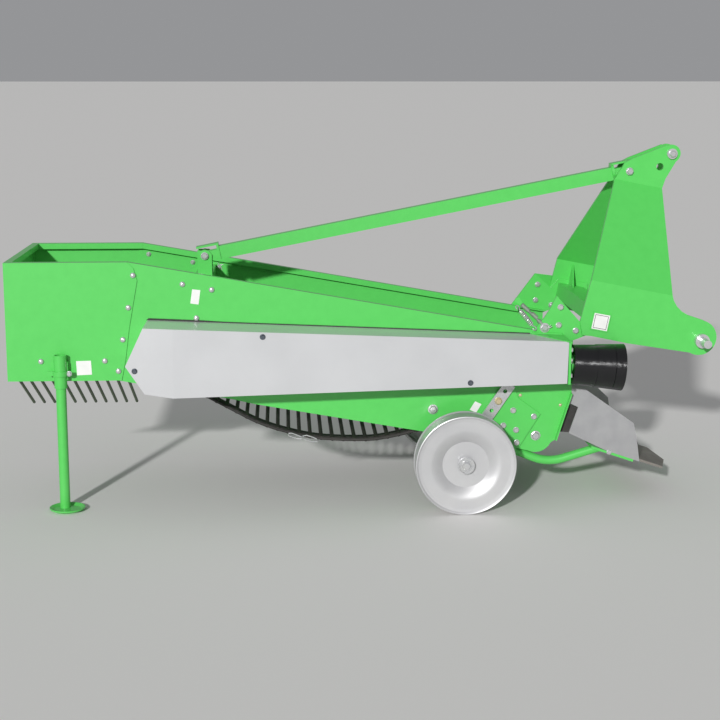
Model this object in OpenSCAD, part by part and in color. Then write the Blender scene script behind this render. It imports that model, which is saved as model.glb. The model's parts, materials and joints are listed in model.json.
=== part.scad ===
// Potato harvester for a three-point hitch: share, sieving web, rear box with a slanted side grate.
// Millimetres. X points to the tractor, Y to the machine's left, Z up, the ground is Z = 0.
// Lengths along X are counted from the rear face of the box, and the origin is at half the length.

/* [Body] */
// Overall length, rear face to the tip of the lower hitch lugs
machine_len = 2372; // [2300:1:2500]
// Width over the outer faces of the side plates
body_w = 600; // [540:2:700]
// Thickness of the side plates and box walls
sheet_t = 4; // [3:0.5:6]
// Height of the box rim above the ground
box_top = 827; // [780:1:880]
// Height of the lower edge of the box walls
box_low = 432; // [420:1:450]
// Length of the rear box along its level rim
box_len = 403; // [380:1:430]
// Overlap of the box walls on the side plates
lap_w = 34; // [24:1:44]
// Height of the sloping rim above the front end of the side plates
rim_front_z = 566; // [550:1:575]
// Place of the front edge of the side plates
side_front = 1888; // [1870:1:1900]
// Width of the folded rim
rim_w = 25; // [15:1:35]
// Depth of the rim's lip
rim_lip = 20; // [10:1:28]

/* [Sieving web] */
// Place of the rear drive shaft
drive_x = 485; // [470:1:500]
// Height of the rear drive shaft
drive_z = 531; // [522:1:540]
// Place of the front roller
nose_x = 1768; // [1750:1:1780]
// Height of the front roller
nose_z = 226; // [220:1:235]
// Radius of the rear drums that carry the web
drum_r = 57; // [50:1:62]
// Radius of the front roller
nose_r = 34; // [28:1:38]
// Thickness of the web's belts
belt_t = 9; // [6:0.5:11]
// Distance of the rod ends from the outer edges of the belts
rod_end = 12; // [5:1:20]
// Width of each belt
belt_w = 60; // [35:1:70]
// Diameter of the web's rods
rod_d = 12; // [8:0.5:14]
// Distance from rod to rod
rod_pitch = 38; // [34:1:60]
// Gap between the rod ends and the side plates
web_gap = 24; // [12:1:40]
// Lowest height of the sagging return run
sag_z = 206; // [200:1:215]

/* [Drive] */
// Depth of the drive cover at its rear end
cover_depth = 175; // [160:1:185]
// Depth of the drive cover at its front end
cover_front_depth = 138; // [130:1:150]
// Thickness of the cover sheet
cover_t = 3; // [2:0.5:4]
// Height of the input shaft at the bearing plate
pto_z = 488; // [480:1:496]
// Distance of the input shaft from the side plate's outer face
pto_out = 80; // [79:1:86]
// Diameter of the input shaft's splined end
pto_d = 34.9; // [30:0.1:38]
// Outer diameter of the shaft guard at its open end
guard_d = 156; // [140:1:157]
// Outer diameter of the shaft guard at the bearing plate
guard_root = 132; // [120:1:140]
// Downward slope of the shaft guard, in degrees
guard_tilt = 3.8; // [1.5:0.1:4.5]
// Length of the shaft guard
guard_len = 170; // [150:1:190]
// Wall thickness of the shaft guard
guard_t = 4; // [3:0.5:6]

/* [Hitch] */
// Thickness of the two bent headstock plates
head_t = 12; // [8:1:15]
// Thickness of the gusset plates
gusset_t = 8; // [6:1:10]
// Height of the lower hitch pins
pin_z = 553; // [545:1:560]
// Height from the lower to the top hitch pin
mast_h = 610; // [600:1:620]
// Distance of the lower hitch pins from the tips of the lugs
pin_back = 52; // [45:1:60]
// Diameter of the lower hitch pins
pin_d = 28; // [22:1:30]
// Distance between the shoulders of the lower hitch pins
pin_span = 683; // [670:1:720]
// Diameter of the top hitch pin
top_d = 25; // [22:1:28]
// Gap between the upper ends of the headstock plates
top_gap = 60; // [52:1:70]
// Slope of the folds in the headstock plates, in degrees
fold_slope = 11; // [8:0.5:14]
// Side of the square top strut
strut_w = 45; // [40:1:50]
// Wall thickness of the top strut
strut_t = 4; // [3:0.5:5]

/* [Running gear] */
// Place of the wheels
wheel_x = 1512; // [1480:1:1540]
// Radius of the wheels
wheel_r = 167; // [150:1:180]
// Width of the wheels
wheel_w = 88; // [70:1:95]
// Distance of a wheel's outer face from the middle of the machine
wheel_out = 475; // [465:1:490]
// Diameter of the wheel axles
axle_d = 25; // [20:1:30]
// Width of the flat wheel legs
leg_w = 40; // [30:1:50]
// Thickness of the flat wheel legs
leg_t = 10; // [8:1:12]

/* [Stand] */
// Place of the parking stand
stand_x = 178; // [160:1:200]
// Outer diameter of the stand's sleeve
sleeve_d = 42; // [38:1:48]
// Diameter of the stand's leg
stand_d = 34; // [28:1:36]
// Diameter of the stand's foot
foot_d = 118; // [90:1:130]
// Thickness of the stand's dished foot
foot_t = 5; // [4:0.5:8]
// Height of the upper end of the stand's sleeve
sleeve_top = 524; // [500:1:540]
// Height of the lower end of the stand's sleeve
sleeve_low = 414; // [395:1:420]

/* [Share] */
// Slope of the share blades, as rise over run
share_slope = 0.34; // [0.3:0.01:0.38]
// Thickness of the share blades
blade_t = 8; // [6:1:10]
// Reach of the blade points beyond the blade's corners
blade_point = 42; // [20:1:48]
// Thickness of the share cheeks
cheek_t = 5; // [4:0.5:8]

/* [Side grate] */
// Number of rods in the side grate
grate_n = 11; // [7:1:13]
// Diameter of the grate rods
grate_d = 10; // [7:0.5:12]
// Length of the grate rods
grate_len = 310; // [260:1:400]
// Downward slope of the grate rods, in degrees
grate_slope = 26.5; // [20:0.5:28]

/* [Hidden] */
$fn = 64;

half_w = body_w / 2;
inner_y = half_w - sheet_t;
fit = 0.3;
seat = 0.05;
tall = 3000;
pin_x = machine_len - pin_back;

green = [0.20, 0.66, 0.22];
steel = [0.72, 0.73, 0.75];
dark = [0.10, 0.10, 0.11];
bare = [0.52, 0.51, 0.50];

// Slope of the body's sloping rim and its height over a place x
rim_slope = (box_top - rim_front_z) / (side_front - box_len);
function rim_z(x) = x < box_len ? box_top : box_top - (x - box_len) * rim_slope;

// Everything is placed from the rear face of the box
module part(c) {
  color(c) translate([-machine_len / 2, 0, 0]) children();
}

// A side view outline, extruded from y0 to y1
module slab(y0, y1) {
  translate([0, y1, 0]) rotate([90, 0, 0]) linear_extrude(y1 - y0) children();
}

// A round bar or bore along Y through (x, z)
module round_y(x, z, r, y0, y1) {
  translate([x, y1, z]) rotate([90, 0, 0]) cylinder(r = r, h = y1 - y0);
}

// The left side is the right side mirrored
module left() {
  mirror([0, 1, 0]) children();
}

// Side plate: sloping rim, lower edge, round front bottom and bent front flange
side_low = [[350, 434], [739, 364], [816, 346], [1381, 245], [1714, 180]];
corner_r = 58;
flange_w = 22;
nose_pin = 9.5;
front_low = [1838, 212];
lip_end = 1791;
front_high = [1888, 374];
lap_front = 392;
lap_low = [372, 600];

module side_outline() {
  difference() {
    union() {
      polygon([
        [lap_front, box_top - sheet_t - fit], [box_len, box_top - sheet_t - fit], [box_len, box_top],
        [side_front, rim_front_z],
        front_high, front_low, [nose_x, nose_z - corner_r], side_low[4], side_low[3],
        side_low[2], side_low[1], side_low[0], lap_low]);
      translate([nose_x, nose_z]) circle(r = corner_r);
    }
    translate([nose_x, nose_z]) circle(r = nose_pin + fit);
    translate([drive_x, drive_z]) circle(r = shaft_r + 4);
  }
}

// A strip below the sloping rim, from the box to the place x
module rim_strip(x, drop) {
  polygon([[box_len, rim_z(box_len)], [x, rim_z(x)], [x, rim_z(x) - drop], [box_len, rim_z(box_len) - drop]]);
}

module side_plate() {
  slab(-half_w, -inner_y) side_outline();
  // rim folded inward, with its lip
  slab(-inner_y, -half_w + rim_w) rim_strip(side_front, sheet_t);
  slab(-half_w + rim_w - sheet_t, -half_w + rim_w) rim_strip(lip_end, rim_lip);
  // lower front edge folded outward
  slab(-half_w - flange_w, -half_w)
    polygon([front_low, front_high, front_high - [sheet_t, 0], front_low - [sheet_t, 0]]);
}

module side_plate_right() {
  part(green) side_plate();
}

module side_plate_left() {
  part(green) left() side_plate();
}

// Box walls lap on the outside of the side plates
seam = [[box_len, box_top], [424, 807], [435, 766], [405, 608], [390, 500], [376, box_low]];
box_out = half_w + sheet_t;

module box_outline() {
  polygon(concat([[0, box_low], [0, box_top]], seam));
}

module box_side() {
  slab(-box_out, -half_w) box_outline();
  slab(-half_w, -half_w + rim_w)
    polygon([[sheet_t, box_top], [box_len - fit, box_top], [box_len - fit, box_top - sheet_t],
      [sheet_t, box_top - sheet_t]]);
  slab(-half_w + rim_w - sheet_t, -half_w + rim_w)
    polygon([[rim_w, box_top], [box_len - fit, box_top], [box_len - fit, box_top - rim_lip],
      [rim_w, box_top - rim_lip]]);
}

module box_side_right() {
  part(green) box_side();
}

module box_side_left() {
  part(green) left() box_side();
}

module box_rear_wall() {
  part(green) {
    translate([0, -half_w, box_low]) cube([sheet_t, body_w, box_top - box_low]);
    translate([sheet_t, -half_w + rim_w, box_top - sheet_t])
      cube([rim_w - sheet_t, body_w - 2 * rim_w, sheet_t]);
    translate([rim_w - sheet_t, -half_w + rim_w, box_top - rim_lip])
      cube([sheet_t, body_w - 2 * rim_w, rim_lip]);
  }
}

// Cross member that ties the side plates and carries the strut bracket
member_x = 608;
member_w = 60;
member_top = 745;

module cross_member() {
  part(green) {
    difference() {
      translate([member_x, -inner_y, member_top - member_w]) cube([member_w, 2 * inner_y, member_w]);
      translate([member_x + sheet_t, -inner_y - 1, member_top - member_w + sheet_t])
        cube([member_w - 2 * sheet_t, 2 * inner_y + 2, member_w - 2 * sheet_t]);
    }
  }
}

// The headstock's side view is drawn from the side plates' front edge and the pins' height,
// for this reach and this height of the mast
drawn_reach = 484;
drawn_mast = 610;
function head_at(p) = [side_front + p[0] * (machine_len - side_front) / drawn_reach,
  pin_z + p[1] * mast_h / drawn_mast];

// Two upright lugs that hold the strut's rear pin
strut_rear = [644, 815];
drawn_strut = [233, 550];
strut_front = head_at(drawn_strut);
lug_t = 8;
lug_w = 50;
lug_foot = 6;
lug_corners = [[-25, 18], [14, 18], [25, 4]];

module strut_bracket() {
  part(green) difference() {
    union() {
      translate([strut_rear[0] - lug_w / 2, -strut_w / 2 - fit - lug_t, member_top])
        cube([lug_w, strut_w + 2 * (fit + lug_t), lug_foot]);
      for (side = [-1, 1])
        translate([0, side * (strut_w / 2 + fit + lug_t / 2), 0]) slab(-lug_t / 2, lug_t / 2)
          polygon(concat([[strut_rear[0] - lug_w / 2, member_top]], [for (p = lug_corners) strut_rear + p],
            [[strut_rear[0] + lug_w / 2, member_top]]));
    }
    round_y(strut_rear[0], strut_rear[1], bolt_r + seat, -strut_w, strut_w);
  }
}

// Bolts at both ends of the strut; the front one carries two spacers
bolt_r = 8.15;
bolt_head = 8;
head_r = 13;
spacer_r = 14;

module strut_bolts() {
  rear_y = strut_w / 2 + fit + lug_t;
  front_y = top_gap / 2 + head_t;
  part(steel) {
    round_y(strut_rear[0], strut_rear[1], bolt_r, -rear_y, rear_y);
    round_y(strut_front[0], strut_front[1], bolt_r, -front_y, front_y);
    for (side = [-1, 1]) {
      translate([0, side * (rear_y + bolt_head / 2), 0])
        round_y(strut_rear[0], strut_rear[1], head_r, -bolt_head / 2, bolt_head / 2);
      translate([0, side * (front_y + bolt_head / 2), 0])
        round_y(strut_front[0], strut_front[1], head_r, -bolt_head / 2, bolt_head / 2);
      translate([0, side * (top_gap / 2 + strut_w / 2) / 2, 0])
        round_y(strut_front[0], strut_front[1], spacer_r, -(top_gap - strut_w) / 4 + seat,
          (top_gap - strut_w) / 4 - seat);
    }
  }
}

strut_len = norm(strut_front - strut_rear);
strut_rise = atan2(strut_front[1] - strut_rear[1], strut_front[0] - strut_rear[0]);

// A square tube between two forks; each fork has an end plate, two ears to its bolt and a strap on top.
// Corners are counted along and above the line between the bolts
ear_t = 8;
ear_r = 20;
tube_rear = 50;
tube_front = 54;
rear_plate = [[46, -22], [54, -22], [54, 34], [46, 34]];
rear_strap = [[-24, 28], [50, 28], [50, 34], [-24, 34]];
rear_ear = [[0, -15], [50, -15], [50, 12], [0, 12]];
front_strap = [[-54, 30], [16, 30], [16, 36], [-54, 36]];
front_ear = [[-54, -16], [0, -16], [0, 16], [-54, 16]];
round_plate_r = 30;
round_plate_up = 6;
round_plate_t = 9;
function strut_at(p) = strut_rear + [p[0] * cos(strut_rise) - p[1] * sin(strut_rise),
  p[0] * sin(strut_rise) + p[1] * cos(strut_rise)];

// A side view outline of the strut, extruded over a width and counted from one of its bolts
module strut_slab(outline, y0, y1, from = 0) {
  slab(y0, y1) polygon([for (p = outline) strut_at(p + [from, 0])]);
}

module strut_ears(outline, from) {
  for (y = [-strut_w / 2, strut_w / 2 - ear_t]) {
    strut_slab(outline, y, y + ear_t, from);
    round_y(strut_at([from, 0])[0], strut_at([from, 0])[1], ear_r, y, y + ear_t);
  }
}

module top_strut() {
  w = strut_w / 2;
  h = w - strut_t;
  part(green) difference() {
    union() {
      strut_slab([[tube_rear, -w], [strut_len - tube_front, -w], [strut_len - tube_front, w],
        [tube_rear, w]], -w, w);
      strut_slab(rear_plate, -w - lug_t / 2, w + lug_t / 2);
      strut_slab(rear_strap, -w, w);
      strut_slab(front_strap, -w, w, strut_len);
      strut_ears(rear_ear, 0);
      strut_ears(front_ear, strut_len);
      translate([strut_at([strut_len - tube_front - 2, round_plate_up])[0], 0,
        strut_at([strut_len - tube_front - 2, round_plate_up])[1]])
        rotate([0, 90 - strut_rise, 0]) cylinder(r = round_plate_r, h = round_plate_t);
    }
    strut_slab([[tube_rear + 2 * strut_t, -h], [strut_len - tube_front - 2 * strut_t, -h],
      [strut_len - tube_front - 2 * strut_t, h], [tube_rear + 2 * strut_t, h]], -h, h);
    round_y(strut_rear[0], strut_rear[1], bolt_r + seat, -strut_w, strut_w);
    round_y(strut_front[0], strut_front[1], bolt_r + seat, -strut_w, strut_w);
  }
}

// Headstock plate: a bent section along the folds, cut by the side view outline
head_out = half_w + gusset_t + head_t;
head_in = half_w + gusset_t;
crown_at = 380;
head_top = head_at([crown_at, drawn_mast]);
drawn_fold_low = [191, 178];
drawn_fold_high = [266, 505];
fold_low = head_at(drawn_fold_low);
fold_high = head_at(drawn_fold_high);
function across(p) = p[1] * cos(fold_slope) + p[0] * sin(fold_slope);
function down(p) = p[0] * cos(fold_slope) - p[1] * sin(fold_slope);
section_low = 200;
section_high = 2400;

module head_section() {
  low = across(fold_low);
  high = across(fold_high);
  gap_y = top_gap / 2;
  polygon([[-head_out, section_low], [-head_in, section_low], [-head_in, low - 2], [-gap_y, high - 2],
    [-gap_y, section_high], [-gap_y - head_t, section_high], [-gap_y - head_t, high + 2],
    [-head_out, low + 2]]);
}

head_outline = [[28, 21], [19, 66], [53, 204], [183, 522], [217, 579], [245, 594], [362, 639], [404, 597],
  [361, 523], [350, 489], [329, 153], [334, 135], [346, 115], [362, 99], [382, 87], [438, 68], [442, -49],
  [183, -8], [58, 18]];
lug_r = 59;
lug_up = 9;
crown_r = 31;
drawn_pin_hole = [340, 565];
pin_hole = head_at(drawn_pin_hole);
spare_r = 12.8;

module headstock() {
  difference() {
    intersection() {
      rotate([0, fold_slope, 0]) rotate([90, 0, 90]) linear_extrude(tall) head_section();
      union() {
        slab(-head_out - 1, 1) polygon([for (p = head_outline) head_at(p)]);
        round_y(machine_len - lug_r, pin_z + lug_up, lug_r, -head_out - 1, 1);
        round_y(head_top[0], head_top[1], crown_r, -head_out - 1, 1);
      }
    }
    round_y(pin_x, pin_z, pin_d / 2 + seat, -tall, tall);
    round_y(head_top[0], head_top[1], top_d / 2 + seat, -tall, tall);
    round_y(pin_hole[0], pin_hole[1], spare_r, -tall, tall);
    round_y(strut_front[0], strut_front[1], bolt_r + seat, -tall, tall);
  }
}

module headstock_right() {
  part(green) headstock();
}

module headstock_left() {
  part(green) left() headstock();
}

// Beam between the headstock plates, tilted with their folds, and a rib up to each plate
beam_len = 96;
beam_h = 54;
beam_t = 5;
drawn_beam = [58, 115];
beam_at = head_at(drawn_beam);

module cross_beam() {
  part(green) {
    translate([beam_at[0], 0, beam_at[1]]) rotate([0, fold_slope, 0])
      difference() {
        translate([0, -half_w, -beam_h]) cube([beam_len, body_w, beam_h]);
        translate([beam_t, -half_w - 1, -beam_h + beam_t])
          cube([beam_len - 2 * beam_t, body_w + 2, beam_h - 2 * beam_t]);
      }
    rib();
    left() rib();
  }
}

// Three-cornered rib on the beam, up the inside of a headstock plate
rib_t = 6;
rib_at = 38;
rib_rise = 76;
rib_reach = 90;
rib_step = 20;

module rib() {
  foot = across(beam_at);
  root = foot - beam_t / 2;
  rotate([0, fold_slope, 0]) translate([down(beam_at) + rib_at, 0, 0]) rotate([90, 0, 90]) linear_extrude(rib_t)
    polygon([[-half_w, root], [-half_w, foot + rib_step], [-head_in, foot + rib_step],
      [-head_in, foot + rib_rise], [-head_in + rib_reach, foot], [-head_in + rib_reach, root]]);
}

// Gusset plates: the rear corners are counted from the body, the front ones move with the headstock
gusset_front = [[62, 131], [168, 111], [168, -1], [58, 24]];
gusset_rear_right = [[-8, -1], [-113, 13], [-147, 21], [-100, 80], [-83, 106], [-59, 153], [23, 62]];
gusset_rear_left = [[-8, -1], [-113, 13], [-127, 21], [-32, 149], [29, 95]];

module gusset_outline(rear) {
  polygon(concat([for (p = rear) [side_front, pin_z] + p], [for (p = gusset_front) head_at(p)]));
}

module gusset(rear) {
  slab(-head_in, -half_w) gusset_outline(rear);
}

module gusset_right() {
  part(green) gusset(gusset_rear_right);
}

module gusset_left() {
  part(green) left() gusset(gusset_rear_left);
}

// Lower hitch pin with its shoulder
shoulder_d = 48;
pin_free = 63;
pin_root_r = 21;
pin_root = 20;
linch_at = 49;
linch_d = 12;

module lower_pin() {
  difference() {
    union() {
      round_y(pin_x, pin_z, pin_d / 2, -pin_span / 2 - pin_free, -head_in);
      round_y(pin_x, pin_z, shoulder_d / 2, -pin_span / 2, -head_out);
      round_y(pin_x, pin_z, pin_root_r, -head_in, -head_in + pin_root);
    }
    translate([pin_x, -pin_span / 2 - linch_at, pin_z - pin_d]) cylinder(d = linch_d, h = 2 * pin_d);
  }
}

module lower_pin_right() {
  part(steel) lower_pin();
}

module lower_pin_left() {
  part(steel) left() lower_pin();
}

// Top hitch pin with a collar on each side
top_free = 14;
collar_t = 10;
collar_r = 18;

module top_pin() {
  grip = top_gap / 2 + head_t;
  part(steel) {
    round_y(head_top[0], head_top[1], top_d / 2, -grip - top_free, grip + top_free);
    round_y(head_top[0], head_top[1], collar_r, -grip - collar_t, -grip);
    round_y(head_top[0], head_top[1], collar_r, grip, grip + collar_t);
  }
}

// Drive cover: a folded sheet, open towards the side plate
cover_face = [[406, 511], [465, 635], [1849, 573], [1846, 433], [557, 405], [466, 420]];

cover_bend = 560;
plan_rear = 300;
plan_front = 2000;
cover_fall = (cover_depth - cover_front_depth) / (cover_face[2][0] - cover_bend);
// Corner i of the outline p, moved inwards by t
function inner(p, i, t) = let (n = len(p), u = (p[i] - p[(i + n - 1) % n]), v = (p[(i + 1) % n] - p[i]))
  let (a = [-u[1], u[0]] / norm(u), b = [-v[1], v[0]] / norm(v)) p[i] - (a + b) * t / (1 + a * b);
// Outer side of the cover at a place x, less the sheet
function cover_y(x, t) = -half_w - cover_depth + t + max(0, x - cover_bend) * cover_fall;

module cover_solid(t) {
  // the plan view wedge narrows the cover towards its front
  intersection() {
    slab(-half_w - cover_depth, -half_w + t / 10)
      polygon([for (i = [0 : len(cover_face) - 1]) inner(cover_face, i, t)]);
    linear_extrude(tall)
      polygon([[plan_rear, 0], [plan_front, 0], [plan_front, cover_y(plan_front, t)],
        [cover_bend, cover_y(cover_bend, t)], [plan_rear, cover_y(plan_rear, t)]]);
  }
}

module drive_cover() {
  part(steel) difference() {
    cover_solid(0);
    cover_solid(cover_t);
    slab(-head_in - fit, -half_w + 1) gusset_outline(gusset_rear_right);
    slab(-box_out - fit, -half_w + 1) box_outline();
    on_line(-boss_r) cylinder(r = line_r + 8, h = 2 * boss_r);
  }
}

// The bearing plate closes the front of the cover.
// The input shaft falls a little from the gearbox to the bearing plate
plate_x = cover_face[2][0] + fit;
plate_t = 8;
plate_low = 430;
plate_high = 574;
line_r = 16;
line_tilt = atan2(drive_z - pto_z, plate_x - drive_x);
line_len = norm([drive_z - pto_z, plate_x - drive_x]);
boss_len = 26;
boss_r = 32;
stub_at = 78;
stub_len = 90;

module on_line(along) {
  // a point along the shaft's line, counted from the bearing plate towards the tractor
  translate([plate_x, -half_w - pto_out, pto_z]) rotate([0, 90 + line_tilt, 0])
    translate([0, 0, along]) children();
}

module pto_plate() {
  part(green) difference() {
    union() {
      translate([plate_x, -half_w - cover_front_depth, plate_low])
        cube([plate_t, cover_front_depth, plate_high - plate_low]);
      on_line(plate_t / 2) cylinder(r = boss_r, h = boss_len - plate_t / 2);
    }
    on_line(-boss_r) cylinder(r = line_r + seat, h = 3 * boss_r);
    slab(-head_in - fit, -half_w + 1) gusset_outline(gusset_rear_right);
  }
}

// Guard of the input shaft: a cone with a step and a groove, one share of its length each
guard_at = 20;
guard_step = 0.45;
guard_groove = 0.79;
groove = 1.5;
function guard_r(share) = guard_root / 2 + (guard_d - guard_root) / 2 * share;

module pto_guard() {
  part(dark) difference() {
    translate([plate_x, -half_w - pto_out, pto_z]) rotate([0, 90 + guard_tilt, 0]) translate([0, 0, guard_at])
      difference() {
        rotate_extrude() polygon([[0, 0], [guard_r(0), 0],
          [guard_r(guard_step) - groove, guard_step * guard_len], [guard_r(guard_step), guard_step * guard_len],
          [guard_r(guard_groove), guard_groove * guard_len],
          [guard_r(guard_groove) - groove, guard_groove * guard_len + groove],
          [guard_r(guard_groove), guard_groove * guard_len + 2 * groove],
          [guard_r(1), guard_len], [0, guard_len]]);
        translate([0, 0, guard_t])
          cylinder(r1 = guard_root / 2 - guard_t - groove, r2 = guard_d / 2 - guard_t, h = guard_len);
      }
    on_line(0) cylinder(r = boss_r + fit, h = guard_at + 3 * guard_t);
  }
}

module pto_shaft() {
  shaft_end = -line_len + gear_len / 2 + fit;
  part(steel) {
    on_line(shaft_end) cylinder(r = line_r, h = stub_at - shaft_end);
    on_line(stub_at) cylinder(d = pto_d, h = stub_len);
  }
}

// Gearbox at the rear end of the drive, one closed block
gear_len = 70;
gear_h = 110;
gear_w = 142;
shaft_r = 20;

module gearbox() {
  part(bare) on_line(-line_len - gear_len / 2)
    translate([-gear_h / 2, pto_out - gear_w, 0]) cube([gear_h, gear_w, gear_len]);
}

// The web's loop runs round the rear drums and the front roller and sags below
web_half = half_w - sheet_t - web_gap;
mid_r1 = drum_r + belt_t / 2;
mid_r2 = nose_r + belt_t / 2;
run_len = norm([nose_x - drive_x, nose_z - drive_z]);
run_tilt = atan2(nose_z - drive_z, nose_x - drive_x);
run_lean = asin((mid_r1 - mid_r2) / run_len);
up_angle = run_tilt - run_lean + 90;
sag_mid = sag_z + belt_t / 2;
leave_a = -107;
meet_a = 241;
back_run = [1455, 267];
sag_points = [turn([nose_x, nose_z], mid_r2, leave_a), [1600, 236], [1500, 264], back_run,
  [1350, sag_mid + 27], [1259, sag_mid + 7], [1180, sag_mid], [1038, sag_mid + 7],
  [927, sag_mid + 30], [826, sag_mid + 65], [717, sag_mid + 123],
  turn([drive_x, drive_z], mid_r1, meet_a)];

function turn(c, r, a) = [c[0] + r * cos(a), c[1] + r * sin(a)];
// A smooth curve through four points, from the second to the third
function bend(a, b, c, d, t) = 0.5 * ((2 * b) + (c - a) * t + (2 * a - 5 * b + 4 * c - d) * t * t
  + (3 * b - a - 3 * c + d) * t * t * t);
sag_steps = 5;
function sag_at(i, t) = let (n = len(sag_points) - 1)
  bend(sag_points[max(i - 1, 0)], sag_points[i], sag_points[i + 1], sag_points[min(i + 2, n)], t);
arc_steps = 12;
web_path = concat(
  [for (k = [0 : arc_steps]) turn([drive_x, drive_z], mid_r1, meet_a - (meet_a - up_angle) * k / arc_steps)],
  [for (k = [0 : arc_steps]) turn([nose_x, nose_z], mid_r2, up_angle - (up_angle - leave_a) * k / arc_steps)],
  [for (i = [0 : len(sag_points) - 2]) for (k = [1 : sag_steps])
    if (i < len(sag_points) - 2 || k < sag_steps) sag_at(i, k / sag_steps)]);
path_n = len(web_path);
function leg(i) = norm(web_path[(i + 1) % path_n] - web_path[i]);
function run_to(i) = i == 0 ? 0 : run_to(i - 1) + leg(i - 1);
path_runs = [for (i = [0 : path_n]) run_to(i)];
loop_len = path_runs[path_n];
rod_n = round(loop_len / rod_pitch);
function on_loop(s, i = 0) = path_runs[i + 1] >= s || i == path_n - 1
  ? let (t = (s - path_runs[i]) / leg(i), a = web_path[i], b = web_path[(i + 1) % path_n])
    [a + (b - a) * t, atan2(b[1] - a[1], b[0] - a[0])]
  : on_loop(s, i + 1);
// Direction of the normal on each point of the path, outwards
function side_of(i) = let (a = web_path[(i + path_n - 1) % path_n], b = web_path[(i + 1) % path_n])
  let (d = (b - a) / norm(b - a)) [-d[1], d[0]];

module belt_outline() {
  difference() {
    polygon([for (i = [0 : path_n - 1]) web_path[i] + side_of(i) * belt_t / 2]);
    polygon([for (i = [0 : path_n - 1]) web_path[i] - side_of(i) * belt_t / 2]);
  }
}

module web() {
  part(dark) {
    for (y = [-web_half, web_half - belt_w]) slab(y, y + belt_w) belt_outline();
    for (k = [0 : rod_n - 1]) {
      p = on_loop(loop_len * k / rod_n);
      translate([p[0][0], web_half - rod_end, p[0][1]]) rotate([90, 22.5 + p[1], 0])
        cylinder(d = rod_d, h = 2 * (web_half - rod_end), $fn = 8);
    }
  }
}

module front_roller() {
  part(bare) {
    round_y(nose_x, nose_z, nose_r - (rod_d - belt_t) / 2 - fit, -web_half, web_half);
    round_y(nose_x, nose_z, nose_pin, -half_w, half_w);
  }
}

// Roller under the carrying run
roll_x = 1417;
roll_r = 28;
roll_pin = 8;
// Roller under the return run
back_x = 1462;
back_r = 14;
back_pin = 6;

module web_rollers() {
  z = drive_z + mid_r1 / cos(90 - up_angle) - (roll_x - drive_x) * tan(90 - up_angle)
    - (rod_d / 2 + roll_r + fit) / cos(90 - up_angle);
  back_z = back_run[1] - rod_d / 2 - back_r - fit;
  part(bare) {
    round_y(roll_x, z, roll_r, -web_half, web_half);
    round_y(roll_x, z, roll_pin, -inner_y, inner_y);
    round_y(back_x, back_z, back_r, -web_half, web_half);
    round_y(back_x, back_z, back_pin, -inner_y, inner_y);
  }
}

shaft_free = 16;

module drive_shaft() {
  part(bare) {
    round_y(drive_x, drive_z, shaft_r, -half_w, half_w + shaft_free);
    for (y = [-web_half, -belt_w / 2, web_half - belt_w])
      round_y(drive_x, drive_z, drum_r - (rod_d - belt_t) / 2 - fit, y + 2, y + belt_w - 2);
  }
}

// Flange bearing of the drive shaft on the left side plate
bearing_side = 90;
bearing_t = 9;
bearing_r = 36;
bearing_len = 22;

module shaft_bearing() {
  part(bare) difference() {
    union() {
      slab(half_w, half_w + bearing_t) translate([drive_x, drive_z]) square(bearing_side, center = true);
      round_y(drive_x, drive_z, bearing_r, half_w, half_w + bearing_len);
    }
    round_y(drive_x, drive_z, shaft_r + seat, half_w - 1, half_w + 2 * bearing_len);
  }
}

// Share blades: two blunt points side by side on a sloping carrier; the left blade sits further back
share_out = inner_y - cheek_t;
share_a = atan(share_slope);
blade_back = 2030;
blade_front = 2212;
blade_inner = 17;
blade_set_back = 32;
blade_ref = [2130, 137];
carrier_t = 8;
carrier_back = 1966;
carrier_front = 2112;
function slant(x) = (x - blade_ref[0]) / cos(share_a);

module on_share(drop, t) {
  translate([blade_ref[0], 0, blade_ref[1]]) rotate([0, share_a, 0])
    translate([0, 0, -t - drop]) linear_extrude(t) children();
}

module share_blades() {
  w = share_out;
  part(bare) for (row = [[-1, 0], [1, blade_set_back]])
    on_share(0, blade_t) polygon([
      [slant(blade_back - row[1]), row[0]], [slant(blade_front + blade_inner - row[1]), row[0]],
      [slant(blade_front + blade_point - row[1]), row[0] * w / 2],
      [slant(blade_front - row[1]), row[0] * w], [slant(blade_back - row[1]), row[0] * w]]);
}

module share_carrier() {
  part(green) on_share(blade_t, carrier_t)
    translate([slant(carrier_back), -inner_y])
      square([slant(carrier_front) - slant(carrier_back), 2 * inner_y]);
}

// Side views of the cheeks, which rest on the blades; the left one reaches further forward
blade_drop = blade_t / cos(share_a);
cheek_rear = [[1840, 345], [1840, 390], [1903, 387], [1936, 384]];
cheek_nose_right = [[2106, 264], [2120, 198], [2130, 137]];
cheek_nose_left = [[2106, 264], [2145, 227], [2150, 190], [2144, 132]];
cheek_foot = [2016, 176];
cheek_low = [[1883, 232], [1913, 322], [1888, 334]];

module share_cheek(nose) {
  last = len(nose) - 1;
  slab(-share_out - cheek_t, -share_out) polygon(concat(
    cheek_rear, [for (i = [0:last]) nose[i] - [0, i == last ? blade_drop : 0]],
    [cheek_foot - [0, blade_drop]], cheek_low));
}

module share_cheek_right() {
  part(bare) share_cheek(cheek_nose_right);
}

module share_cheek_left() {
  part(bare) left() share_cheek(cheek_nose_left);
}

// Bent tube that braces the share from the body
brace_d = 30;
brace_rear = [1690, 175];
brace_fall = 22.4;
brace_rise = 16.5;
brace_bend = 160;
brace_rear_len = 79;
brace_front_len = 147;
brace_in = 3;
brace_root = 12;

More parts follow.
